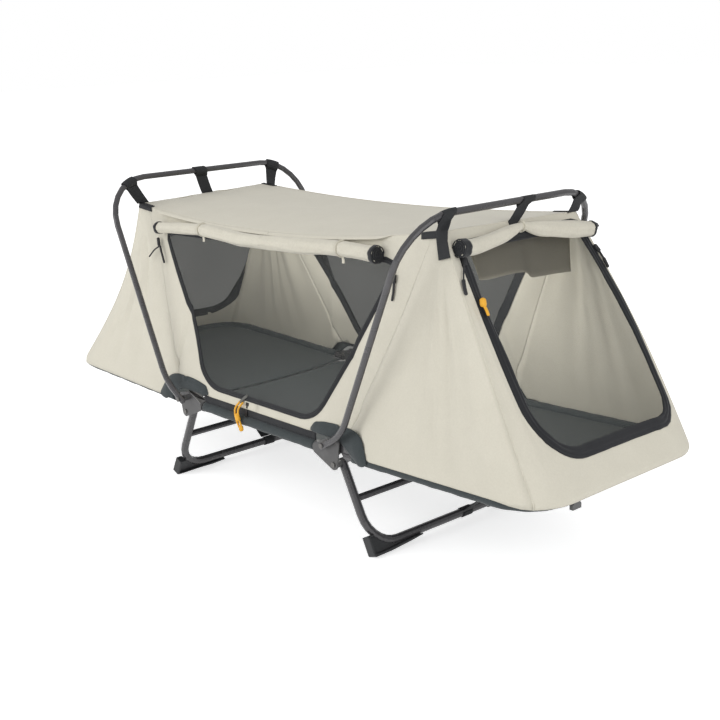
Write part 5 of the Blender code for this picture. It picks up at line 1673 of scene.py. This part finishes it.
@dataclass
class Straps:
    """Webbing: three bands that hang each end of the roof from its hoop, and one from each leg to the bed
    cloth."""

    width: float = 0.045
    thickness: float = 0.0018
    roof_places: dict[str, float] = field(
        default_factory=lambda: {"near": -0.245, "middle": 0.010, "far": 0.245}
    )
    left_bar_places: tuple[float, float, float] = (-0.300, -0.018, 0.290)
    right_bar_places: tuple[float, float, float] = (-0.236, 0.060, 0.292)
    bar_gap: float = 0.0032
    wrap_length: float = 0.008
    hoop_keep: float = 0.2
    wall_slope: float = 0.136
    patch_half: float = 0.013
    patch_length: float = 0.072
    leg_strap_y: float = 0.045
    leg_strap_width: float = 0.038
    leg_bar: tuple[float, float] = (0.4746, 0.025)
    leg_strap_top: float = 0.770
    leg_bar_gap: float = 0.0014
    leg_strap_drop: float = 0.0135
    leg_strap_sag: float = 0.004
    leg_keep: float = 0.12
    end_keep: float = 0.04

    def build(self) -> None:
        """Makes every strap."""
        for end, places in ((End.LEFT, self.left_bar_places), (End.RIGHT, self.right_bar_places)):
            for where, y in zip(self.roof_places, places):
                self.hoop_strap(end, where, y)
            for side in Side:
                self.corner_patch(end, side)
            self.leg_strap(end)

    def hoop_line(self, end: End) -> Array:
        """The hoop's centre line over its top, from near to far."""
        half, low = COT.hoop_half_width(end), 0.5
        near = [(end.value * COT.hoop_x(low), -half, low), (end.value * COT.hoop_bar_x, -half, COT.hoop_top)]
        corners = near + [(a, -b, c) for a, b, c in reversed(near)]
        return spaced(rounded(corners, [COT.hoop_corner] * 2), 800)

    def hoop_strap(self, end: End, where: str, y: float) -> None:
        """A band that goes round the hoop's bar and down to the roof's edge: in each station across its
        width, the line is a turn of a circle round the bar that runs out straight to the roof."""
        line = self.hoop_line(end)
        upper = line[line[:, 2] > 0.75]
        runs, nearest = arc_length(upper), int(np.argmin(np.abs(upper[:, 1] - y)))
        place = np.linspace(-0.5, 0.5, 9) * self.width
        bars = np.stack([np.interp(runs[nearest] + place, runs, upper[:, k]) for k in range(3)], 1)
        edge = ROOF.point(np.array(float(end.value)), np.array(self.roof_places[where] / ROOF.half_width))
        feet = edge + place[:, None] * np.array([0, 1.0, 0]) + np.array([end.value * 0.0026, 0, 0.001])
        tail = np.empty((0, 9, 3))
        if end is End.RIGHT and where == "near":
            feet, tail = self.corner_tail()
        if end is End.LEFT and where == "far":
            inward = ROOF.point(-1 + (0.012 + place + self.width / 2) / COT.roof_half_length, np.array(1.0))
            feet = inward + np.array([0, 0.0028, 0.002])
        hang = unit(feet.mean(0) - upper[nearest])
        out = unit(np.cross(unit(bars[-1] - bars[0]), hang))
        if out[0] * end.value < 0:
            out = -out
        radius = COT.hoop_radius + self.bar_gap
        turn = np.linspace(-0.10 * np.pi, 1.10 * np.pi, 22)[:, None, None]
        wrap = bars[None] + radius * (np.cos(turn) * out - np.sin(turn) * hang)
        below = bars + hang * (radius + self.wrap_length)
        join, back = below + out * 0.0012, below - out * 0.0012
        share = np.linspace(0, 1, 12)[:, None, None]
        down = join[None] + (feet - join)[None] * share + np.sin(np.pi * share) * out * 0.0015
        if where == "middle":
            tail = (
                feet[None] + np.linspace(0, 1, 5)[1:, None, None] * np.array([end.value * 0.008, 0, -0.014])
            )
        front = np.concatenate([tail[::-1], down[::-1], wrap, back[None]])
        name = f"hoop_strap_{where}_{end.word}"
        strap = STRAP.dress(surface(f"{name}_band", front, outward=out))
        hoop = f"hoop_{end.word}"
        fit_sheet(strap, self.thickness, [hoop], hoop, name, held="hung")
        fold_with_hoop(strap)

    def corner_tail(self) -> tuple[Array, Array]:
        """The right near strap's foot at the roof's corner, and its tail, which runs down the near wall
        beside the corner seam to a slanted end."""
        share = np.linspace(0, 1, 9)
        feet = np.array([0.681, -0.2632, 0.918]) + share[:, None] * np.array([0.0395, 0.0012, 0.0035])
        steps = np.linspace(0, 1, 10)[1:, None]
        x = (0.681 + 0.0155 * steps) + share * 0.038
        z = 0.902 + (0.846 + 0.011 * share - 0.902) * steps
        y = -ROOF.half_width - self.wall_slope * (0.912 - z) - 0.0035
        return feet, np.stack(np.broadcast_arrays(x, y, z), -1)

    def corner_patch(self, end: End, side: Side) -> None:
        """A short piece of webbing folded over the roof's long edge beside a corner, with a slanted inner
        end."""
        wall = SIDE_WALLS[side]
        across = np.array([-1.0, -0.66, -0.33, -0.08, 0.0, 0.08, 0.33, 0.66, 1.0]) * self.patch_half
        along = np.linspace(0, 1, 9)
        length = self.patch_length + 0.35 * across
        u = end.value * (1 - along[None] * length[:, None] / COT.roof_half_length)
        rise = side.value * (1 - np.clip(-across, 0, None) / COT.roof_half_width)[:, None]
        over = ROOF.point(u, rise) + [0, 0, 0.0028]
        down = wall.point(u, np.broadcast_to(1 - across[:, None] * 3.2, u.shape).clip(-1, 1), 0.0030)
        points = np.where(across[:, None, None] > 0, down, over)
        points[4] = (over[3] + down[5]) / 2 + [0, side.value * 0.0008, 0.0008]
        patch = STRAP.dress(
            surface(f"corner_patch_{side.word}_{end.word}", points, outward=(0, side.value, 1))
        )
        fit_sheet(patch, self.thickness, ["roof_panel"], f"hoop_{end.word}")
        fold_with_hoop(patch)

    def leg_strap(self, end: End) -> None:
        """The band from a leg's ground bar to the end section, in a half that folds with each, and its
        loop."""
        bar_x, bar_z = self.leg_bar
        centre = np.array([end.value * bar_x, self.leg_strap_y, bar_z])
        top_z = float(COT.rail_z(np.array(self.leg_strap_top))) - self.leg_strap_drop
        top = np.array([end.value * self.leg_strap_top, self.leg_strap_y, top_z])
        rise = unit(top - centre)
        out = np.array([rise[2] * end.value, 0, -rise[0] * end.value])
        place = np.linspace(-0.5, 0.5, 7)[None, :, None] * self.leg_strap_width * np.array([0, 1.0, 0])
        radius = COT.rail_radius + self.leg_bar_gap
        turn = np.linspace(-0.40 * np.pi, 1.40 * np.pi, 26)[:, None, None]
        wrap = centre + radius * (np.cos(turn) * out - np.sin(turn) * rise) + place
        join = centre + rise * (radius + 0.004)
        share = np.linspace(0, 1, 41)[:, None, None]
        sag = np.sin(np.pi * share) * np.array([0, 0, -self.leg_strap_sag])
        line = join + (top - join) * share + sag + place
        lap = top + np.linspace(0, 1, 6)[1:, None, None] * np.array([end.value * 0.05, 0, 0.0008]) + place
        leg, section = f"leg_{end.word}", f"end_section_{end.word}"
        parts = (
            ("loop", wrap, leg, ()),
            ("lower", line[:21], leg, (f"leg_strap_{end.word}",)),
            ("upper", np.concatenate([line[20:], lap]), section, ()),
        )
        for name, points, body, nodes in parts:
            band = STRAP.dress(surface(f"leg_strap_{end.word}_{name}", points, outward=(end.value, 0, -1)))
            fit_sheet(band, self.thickness, [leg], body, *nodes, held="hung")
            if name == "lower":
                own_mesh(band)
            if name == "upper":
                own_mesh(band)


# Trim


CordSpec = tuple[float, Finish, tuple[Point, ...]]
WINDOW_SHIFT = (0.006, 0.0, 0.0)
WINDOW_PULLS: tuple[CordSpec, ...] = (
    (0.0022, CORD, ((0.742, -0.234, 0.842), (0.7530, -0.2480, 0.8228), (0.7630, -0.2590, 0.803))),
    (0.0048, CORD, ((0.7630, -0.2590, 0.803), (0.772, -0.266, 0.790), (0.784, -0.273, 0.775))),
    (0.0030, CORD, ((0.7662, 0.2706, 0.8028), (0.780, 0.276, 0.781))),
    (0.0045, CORD, ((0.780, 0.276, 0.781), (0.7924, 0.2771, 0.7606))),
    (0.0062, CORD, ((0.735, -0.228, 0.850), (0.742, -0.232, 0.838))),
    (0.0060, CORD, ((0.757, 0.266, 0.815), (0.7662, 0.2706, 0.8028))),
)
YELLOW_WINDOW_PULL: tuple[CordSpec, ...] = (
    (0.0085, PULL, ((0.8062, -0.2310, 0.754), (0.8092, -0.2320, 0.744))),
    (0.0038, PULL, ((0.8112, -0.2320, 0.742), (0.819, -0.2325, 0.733), (0.827, -0.2340, 0.7215))),
)
DOOR_SHIFT = (0.0, -0.004, 0.0)
DOOR_PULLS: dict[End, tuple[CordSpec, ...]] = {
    End.LEFT: (
        (0.0052, SLIDER, ((-0.572, -0.2750, 0.772), (-0.568, -0.2765, 0.752))),
        (0.0024, CORD, ((-0.566, -0.278, 0.748), (-0.590, -0.280, 0.735), (-0.6216, -0.283, 0.709))),
        (0.0034, CORD, ((-0.560, -0.278, 0.750), (-0.546, -0.282, 0.726), (-0.533, -0.284, 0.700))),
    ),
    End.RIGHT: (
        (0.0052, SLIDER, ((0.541, -0.2730, 0.789), (0.540, -0.2740, 0.772))),
        (0.0032, CORD, ((0.540, -0.2745, 0.771), (0.541, -0.278, 0.750), (0.5375, -0.2805, 0.7255))),
    ),
}
ZIP_BRIDGE: tuple[CordSpec, ...] = (
    (0.0050, BUCKLE, ((-0.055, -0.334, 0.3565), (-0.066, -0.338, 0.347), (-0.0734, -0.342, 0.3376))),
)
YELLOW_LOOP = (
    (-0.0734, -0.342, 0.336), (-0.0785, -0.356, 0.318), (-0.0745, -0.3605, 0.300),
    (-0.069, -0.3605, 0.282), (-0.0569, -0.3605, 0.262),
)
YELLOW_DOOR_PULL: tuple[CordSpec, ...] = (
    *((0.0031, PULL, tuple((x + apart, y, z) for x, y, z in YELLOW_LOOP)) for apart in (-0.0075, 0.0075)),
    (0.0075, PULL, ((-0.073, -0.3612, 0.300), (-0.067, -0.3612, 0.288))),
    (0.0070, PULL, ((-0.0569, -0.3605, 0.266), (-0.055, -0.3605, 0.258))),
)
GUSSET_ROWS: tuple[tuple[float, ...], ...] = (
    (0.250, 0.3290, 0.3220, 0.3400, 0.3430, 0.001),
    (0.262, 0.3445, 0.3215, 0.3385, 0.3470, 0.004),
    (0.285, 0.3530, 0.3215, 0.3375, 0.3500, 0.006),
    (0.335, 0.3600, 0.3220, 0.3365, 0.3515, 0.005),
    (0.385, 0.3605, 0.3180, 0.3365, 0.3515, 0.003),
    (0.425, 0.3585, 0.2920, 0.3380, 0.3530, 0.007),
    (0.447, 0.3530, 0.2820, 0.3400, 0.3560, 0.010),
    (0.466, 0.3420, 0.2720, 0.3440, 0.3590, 0.009),
    (0.485, 0.3140, 0.2730, 0.3520, 0.3590, 0.005),
    (0.497, 0.2915, 0.2800, 0.3580, 0.3585, 0.001),
)
# The strip in the shaded gap under each side wall's hem: heights and distances across, one row each.
SHADED_GAP_LINE = (
    (0.286, 0.3395), (0.293, 0.3412), (0.301, 0.3425), (0.310, 0.3426), (0.320, 0.3414), (0.332, 0.3392),
)
FOOT_RIM = (
    (-0.0060, -0.0300), (-0.0065, 0.0170), (0.0100, 0.0192), (0.1400, 0.0125), (0.1780, 0.0120),
    (0.1780, 0.0158), (0.1300, 0.0205), (0.0500, 0.0262), (-0.008, 0.0268), (-0.014, 0.0215), (-0.013, -0.03),
)
FOOT_LIP = ((-0.0140, -0.0345), (-0.0140, -0.0290), (0.0120, -0.0290), (0.0070, -0.0345))
CLIP_OUTLINE = (
    (-0.0165, -0.031), (0.0165, -0.031), (0.0165, -0.018), (0.01, -0.011), (-0.01, -0.011), (-0.0165, -0.018),
)


@dataclass
class Trim:
    """The gussets over the knuckles, dark strips in the shaded gaps under the hems along the middle rails,
    feet, clips and zip pulls.

    A gusset's rows are its distance along the bed, top, foot, distance across at each, and bulge.
    """

    cap_gap: float = 0.0024
    cap_limit: float = 0.3528
    cap_thickness: float = 0.0016
    cap_inset: float = 0.02
    cap_keep: float = 0.20
    sill_reach: float = 0.272
    sill_thickness: float = 0.0012
    sill_fold_z: float = 0.2880
    sill_keep: float = 0.10
    foot_origin: Point = (0.4746, 0.324, 0.025)
    foot_slope: tuple[float, float] = (0.4507, 0.8927)
    foot_thickness: float = 0.029
    foot_web: float = 0.011
    foot_bevel: float = 0.0018
    foot_length: float = 0.168
    leg_corner: float = 0.095
    clip_y: float = -0.195
    clip_half: float = 0.006
    clip_bevel: float = 0.0015

    def build(self) -> None:
        """Makes every trim piece."""
        for side in Side:
            self.sill(side)
            for end in End:
                self.gusset(end, side)
                self.foot(end, side)
        for end in End:
            self.clips(end)
        self.cords("window_pulls_right", WINDOW_PULLS, "hoop_right", CORD, WINDOW_SHIFT, fold=End.RIGHT)
        self.cords("yellow_window_pull_right", YELLOW_WINDOW_PULL, "zip_right", PULL, fold=End.RIGHT)
        for side in Side:
            self.door_pulls(side)

    def gusset(self, end: End, side: Side) -> None:
        """A cap of bed cloth over a knuckle: sewn to the wall above and tucked round the rail below."""
        wall = SIDE_WALLS[side]
        rows = np.array(GUSSET_ROWS)
        x = np.interp(np.linspace(0, len(rows) - 1, 46), np.arange(len(rows)), rows[:, 0])
        top, low, top_y, low_y, bulge = (eased(rows[:, 0], rows[:, k], x) for k in range(1, 6))
        share = np.linspace(0, 1, 12)[:, None]
        z = top + (low - top) * share
        y = top_y + (low_y - top_y) * share + bulge * np.sin(np.pi * share)
        cloth = np.abs(wall.at(np.broadcast_to(end.value * x, z.shape), z)[..., 1])
        y = np.maximum(y, cloth + self.cap_gap)
        under_plate = smooth(x, 0.315, 0.33) * (1 - smooth(x, 0.41, 0.425))
        y = np.where(under_plate > 0.5, np.minimum(y, self.cap_limit), y)
        points = np.stack([np.broadcast_to(end.value * x, z.shape), side.value * y, z], -1)
        where = f"{side.word}_{end.word}"
        cap = GREY.dress(surface(f"gusset_cap_{where}", points, outward=(0, side.value, 0)))
        fit_sheet(cap, self.cap_thickness, [f"knuckle_{where}"], "bed", f"gusset_{where}")
        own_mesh(cap)

    def sill(self, side: Side) -> None:
        """The dark strip between a middle rail's sleeve and the wall's hem: the cloth seen in that gap,
        coloured near-black as painted shade for the shadow under the hem.
        """
        x = np.linspace(-self.sill_reach, self.sill_reach, 60)[None]
        z, y = np.array(SHADED_GAP_LINE).T[..., None]
        wave = 0.0006 * np.sin(70 * x) * np.sin(np.pi * np.linspace(0, 1, len(z)))[:, None]
        points = np.stack(np.broadcast_arrays(x, side.value * (y + wave), z), -1)
        # Near-black binding here is painted shade: the gap under the hem is in shadow.
        strip = BINDING.dress(surface(f"sill_{side.word}", points, outward=(0, side.value, 0)))
        fit_sheet(strip, self.sill_thickness, [f"middle_rail_{side.word}"], "bed")
        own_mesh(strip)

    def foot(self, end: End, side: Side) -> None:
        """A rubber foot outside a leg's bend: a thin web between the tube and a thick rim along its edge
        and sole."""
        x, y, z = self.foot_origin
        slope_x, slope_z = self.foot_slope
        across = np.array([0.0, -side.value, 0.0])
        down = np.array([end.value * slope_x, 0.0, -slope_z])
        frame = np.stack([across, down, np.cross(across, down), [end.value * x, side.value * y, z]])
        out = COT.rail_radius
        turn = np.linspace(math.radians(70), 0, 12)
        bend = self.leg_corner + out - 0.003
        arc = np.stack([self.leg_corner - bend * np.sin(turn), -self.leg_corner + bend * np.cos(turn)], 1)
        arc = arc[arc[:, 1] > -0.031]
        sole = [(self.foot_length, out - 0.002), (self.foot_length, 0.0165), (-0.008, 0.0230)]
        web = np.concatenate([arc, [*sole, (-0.012, float(arc[0, 1]))]])
        half = self.foot_thickness / 2
        parts = [
            plate_between("web", web, frame, -self.foot_web / 2, self.foot_web / 2),
            plate_between("edge", np.array(FOOT_RIM), frame, -half, half),
            plate_between("lip", np.array(FOOT_LIP), frame, -half + 0.001, half - 0.001),
        ]
        for part in parts:
            RUBBER.dress(part)
            for vertex in part.data.vertices:
                vertex.co.z = max(vertex.co.z, 0.0)
        foot = bevelled(joined(f"rubber_foot_{side.word}_{end.word}", parts), self.foot_bevel)
        ride(foot, f"leg_{end.word}", f"foot_{side.word}_{end.word}")

    def clips(self, end: End) -> None:
        """A moulded clip that holds the hem under the end rail."""
        place = [end.value * (COT.half_length + 0.004), self.clip_y, COT.rail_height + COT.end_rise]
        frame = np.array([[0, 1.0, 0], [0, 0, 1.0], [1.0, 0, 0], place])
        name = f"hem_clip_{end.word}"
        clip = plate_between(name, np.array(CLIP_OUTLINE), frame, -self.clip_half, self.clip_half)
        ride(bevelled(CLIP.dress(clip), self.clip_bevel), f"end_section_{end.word}")

    def cords(
        self,
        name: str,
        specs: Sequence[CordSpec],
        body: str,
        finish: Finish,
        shift: Point = (0.0, 0.0, 0.0),
        flip: float = 1.0,
        fold: End | None = None,
    ) -> None:
        """One piece of short round cords, each eased through a few points.

        Args:
            name: The piece's name.
            specs: Each cord's radius, finish and points.
            body: The body that it rides on.
            finish: Not used.
            shift: How far its points are moved.
            flip: -1 to mirror them across the bed.
            fold: If set to an end, the piece gets its own copy of its mesh.
        """
        parts: list[bpy.types.Object] = []
        for radius, look, points in specs:
            knots = (np.array(points, float) + shift) * (1.0, flip, 1.0)
            run = arc_length(knots)
            path = np.stack([eased(run, knots[:, k], np.linspace(0, run[-1], 16)) for k in range(3)], 1)
            parts.append(look.dress(bar("cord", path, radius, (0.3, 0.9, 0.1), 10, radius * 0.8)))
        piece = ride(joined(name, parts), body)
        if fold is not None:
            fold_with_hoop(piece)

    def door_pulls(self, side: Side) -> None:
        """The black pulls at a door's top corners, the bridge on its lower slider and the yellow loop below
        it."""
        flip = float(-side.value)
        for end, specs in DOOR_PULLS.items():
            name = f"door_pulls_{side.word}_{end.word}"
            self.cords(name, specs, f"hoop_{end.word}", CORD, DOOR_SHIFT, flip, end)
        self.cords(f"zip_bridge_{side.word}", ZIP_BRIDGE, f"zip_{side.word}", BUCKLE, DOOR_SHIFT, flip)
        self.cords(
            f"yellow_door_pull_{side.word}", YELLOW_DOOR_PULL, f"zip_{side.word}", PULL, DOOR_SHIFT, flip
        )


# Studio


@dataclass(frozen=True)
class Studio:
    """The camera that the photograph was taken from, soft lights and a pale floor."""

    eye: Point = (2.8072, -2.3959, 1.4079)
    azimuth: float = 48.703
    elevation: float = 15.164
    roll: float = -1.984
    focal_pixels: float = 1223.61
    frame_pixels: float = 720.0
    cabin_lamps: Sequence[tuple[float, float, float, float]] = (
        (-0.36, 0.0, 0.66, 5.0),
        (0.32, 0.0, 0.66, 5.0),
        (0.74, -0.06, 0.52, 2.6),
    )
    aim_height: float = 0.4
    seen_through: float = 0.42
    floor_glow: float = 0.62
    floor_reach: float = 30.0
    lamps: Sequence[tuple[str, Point, float, float]] = (
        ("key", (-1.6, -4.3, 2.5), 3.0, 92),
        ("fill", (4.6, -0.8, 1.9), 3.0, 56),
    )
    cabin_lamp_radius: float = 0.12

    def build(self) -> None:
        """Sets up the camera, the lights, the floor and the world."""
        self.camera()
        self.lights()
        self.floor()
        self.world()
        bpy.context.scene.view_settings.view_transform = "Standard"

    def camera(self) -> None:
        """A camera at the fitted place, with its axes from the fitted angles."""
        az, el, roll = (math.radians(a) for a in (self.azimuth, self.elevation, self.roll))
        forward = np.array([-math.sin(az) * math.cos(el), math.cos(az) * math.cos(el), -math.sin(el)])
        right = unit(np.cross(forward, [0, 0, 1.0]))
        up = np.cross(right, forward)
        turned_right = right * math.cos(roll) + up * math.sin(roll)
        turned_up = up * math.cos(roll) - right * math.sin(roll)
        lens = bpy.data.cameras.new("photo_camera")
        lens.sensor_width = 36.0
        lens.lens = self.focal_pixels / self.frame_pixels * lens.sensor_width
        lens.clip_end = 60.0
        camera = placed("photo_camera", lens)
        self.stand(camera, turned_right, turned_up, -forward, self.eye)
        bpy.context.scene.camera = camera

    @staticmethod
    def stand(thing: bpy.types.Object, *columns: Sequence[float]) -> None:
        """Turns and moves an object: its three axes and then its place are the columns of its matrix."""
        axes = np.eye(4)
        axes[:3] = np.stack([np.asarray(column, float) for column in columns], 1)
        thing.matrix_world = Matrix(axes.tolist())

    def lamp(self, name: str, place: Sequence[float], size: float, power: float) -> None:
        """A soft square lamp aimed at the bed."""
        light = bpy.data.lights.new(name, "AREA")
        light.size = size
        light.energy = power
        back = unit(np.asarray(place, float) - np.array([0, 0, self.aim_height]))
        side = unit(np.cross(UP, back))
        self.hang(light, side, np.cross(back, side), back, place)

    def hang(self, light: bpy.types.Light, *columns: Sequence[float]) -> None:
        """Puts a light in the scene, hidden from the camera."""
        lamp = placed(light.name, light)
        self.stand(lamp, *columns)
        lamp.visible_camera = False

    def lights(self) -> None:
        """A wide key from the front, a fill from the right end, and weak soft lamps inside the cabin, which
        stand for the light that thin cloth lets through."""
        for lamp in self.lamps:
            self.lamp(*lamp)
        for x, y, z, power in self.cabin_lamps:
            glow = bpy.data.lights.new("cabin_glow", "POINT")
            glow.shadow_soft_size = self.cabin_lamp_radius
            glow.energy = power
            self.hang(glow, *np.eye(3), (x, y, z))

    def floor(self) -> None:
        """A pale floor that keeps the shadow and is white to the camera."""
        mesh = bpy.data.meshes.new("floor")
        far = self.floor_reach
        mesh.from_pydata([(-far, -far, 0), (far, -far, 0), (far, far, 0), (-far, far, 0)], [], [(0, 1, 2, 3)])
        floor = placed("floor", mesh)
        made = bpy.data.materials.new("pale_floor")
        made.use_nodes = True
        tree = made.node_tree
        shader = tree.nodes["Principled BSDF"]
        shader.inputs["Roughness"].default_value = 0.9
        shader.inputs["Specular IOR Level"].default_value = 0.1
        shader.inputs["Emission Strength"].default_value = self.floor_glow
        seen, netted = self.seen_by(tree, "Is Glossy Ray")
        glow = place_node(
            tree, "Math", operation="SUBTRACT", in_0=seen, in_1=netted, use_clamp=True
        ).outputs[0]
        tree.links.new(mixed(tree, glow, (0, 0, 0, 1), (1, 1, 1, 1)), shader.inputs["Emission Color"])
        base = mixed(tree, netted, (0.92, 0.92, 0.92, 1), (0.40, 0.40, 0.38, 1))
        tree.links.new(base, shader.inputs["Base Color"])
        mesh.materials.append(made)

    @staticmethod
    def seen_by(tree: bpy.types.NodeTree, other: str) -> tuple[bpy.types.NodeSocket, bpy.types.NodeSocket]:
        """Two masks: 1 for the camera's rays and another kind, and 1 where a ray has passed through net, as
        the room behind it was darker than the cut-out white."""
        rays = place_node(tree, "LightPath").outputs
        sources = {"in_0": rays["Is Camera Ray"], "in_1": rays[other]}
        seen = place_node(tree, "Math", operation="MAXIMUM", **sources)
        netted = place_node(tree, "Math", operation="GREATER_THAN", in_0=rays["Transparent Depth"], in_1=0.5)
        return seen.outputs[0], netted.outputs[0]

    def world(self) -> None:
        """A world that is white to the camera, grey behind net and a softer white as light."""
        world = bpy.data.worlds.new("studio")
        bpy.context.scene.world = world
        world.use_nodes = True
        tree = world.node_tree
        background = tree.nodes["Background"]
        background.inputs["Color"].default_value = (1, 1, 1, 1)
        seen, netted = self.seen_by(tree, "Is Transmission Ray")
        shown = place_node(tree, "Mix", data_type="FLOAT", in_0=netted, in_2=1.0, in_3=self.seen_through)
        strength = place_node(tree, "Mix", data_type="FLOAT", in_0=seen, in_2=0.66, in_3=shown.outputs[0])
        tree.links.new(strength.outputs[0], background.inputs["Strength"])


@dataclass
class Metalwork:
    """The tubes, cast knuckles, rivets and zip sliders, which keep their solids and get their finishes."""

    slider_keep: float = 0.15

    def build(self, frame: dict) -> None:
        """Dresses each CAD node of a metal or rubber slot."""
        finishes = {finish.slot: finish for finish in (TUBE, CASTING, RIVET, RUBBER, SLIDER)}
        for entry in frame["record"]["subparts"]:
            finish = finishes.get(entry["material_slot"])
            if finish is not None:
                finish.coat(frame["nodes"][entry["node"]])
                LOG.info("%s keeps its solid", entry["node"])
        for end in End:
            fold_with_hoop(frame["nodes"][f"zip_slider_{end.word}"])


def main() -> None:
    """Builds the studio and every sub-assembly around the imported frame."""
    logging.basicConfig(level=logging.INFO, format="%(message)s")
    for thing in list(bpy.data.objects):
        bpy.data.objects.remove(thing, do_unlink=True)
    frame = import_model()
    Studio().build()
    Metalwork().build(frame)
    Canopy().build()
    BedCloth().build()
    Straps().build()
    Trim().build()


if __name__ == "__main__":
    main()
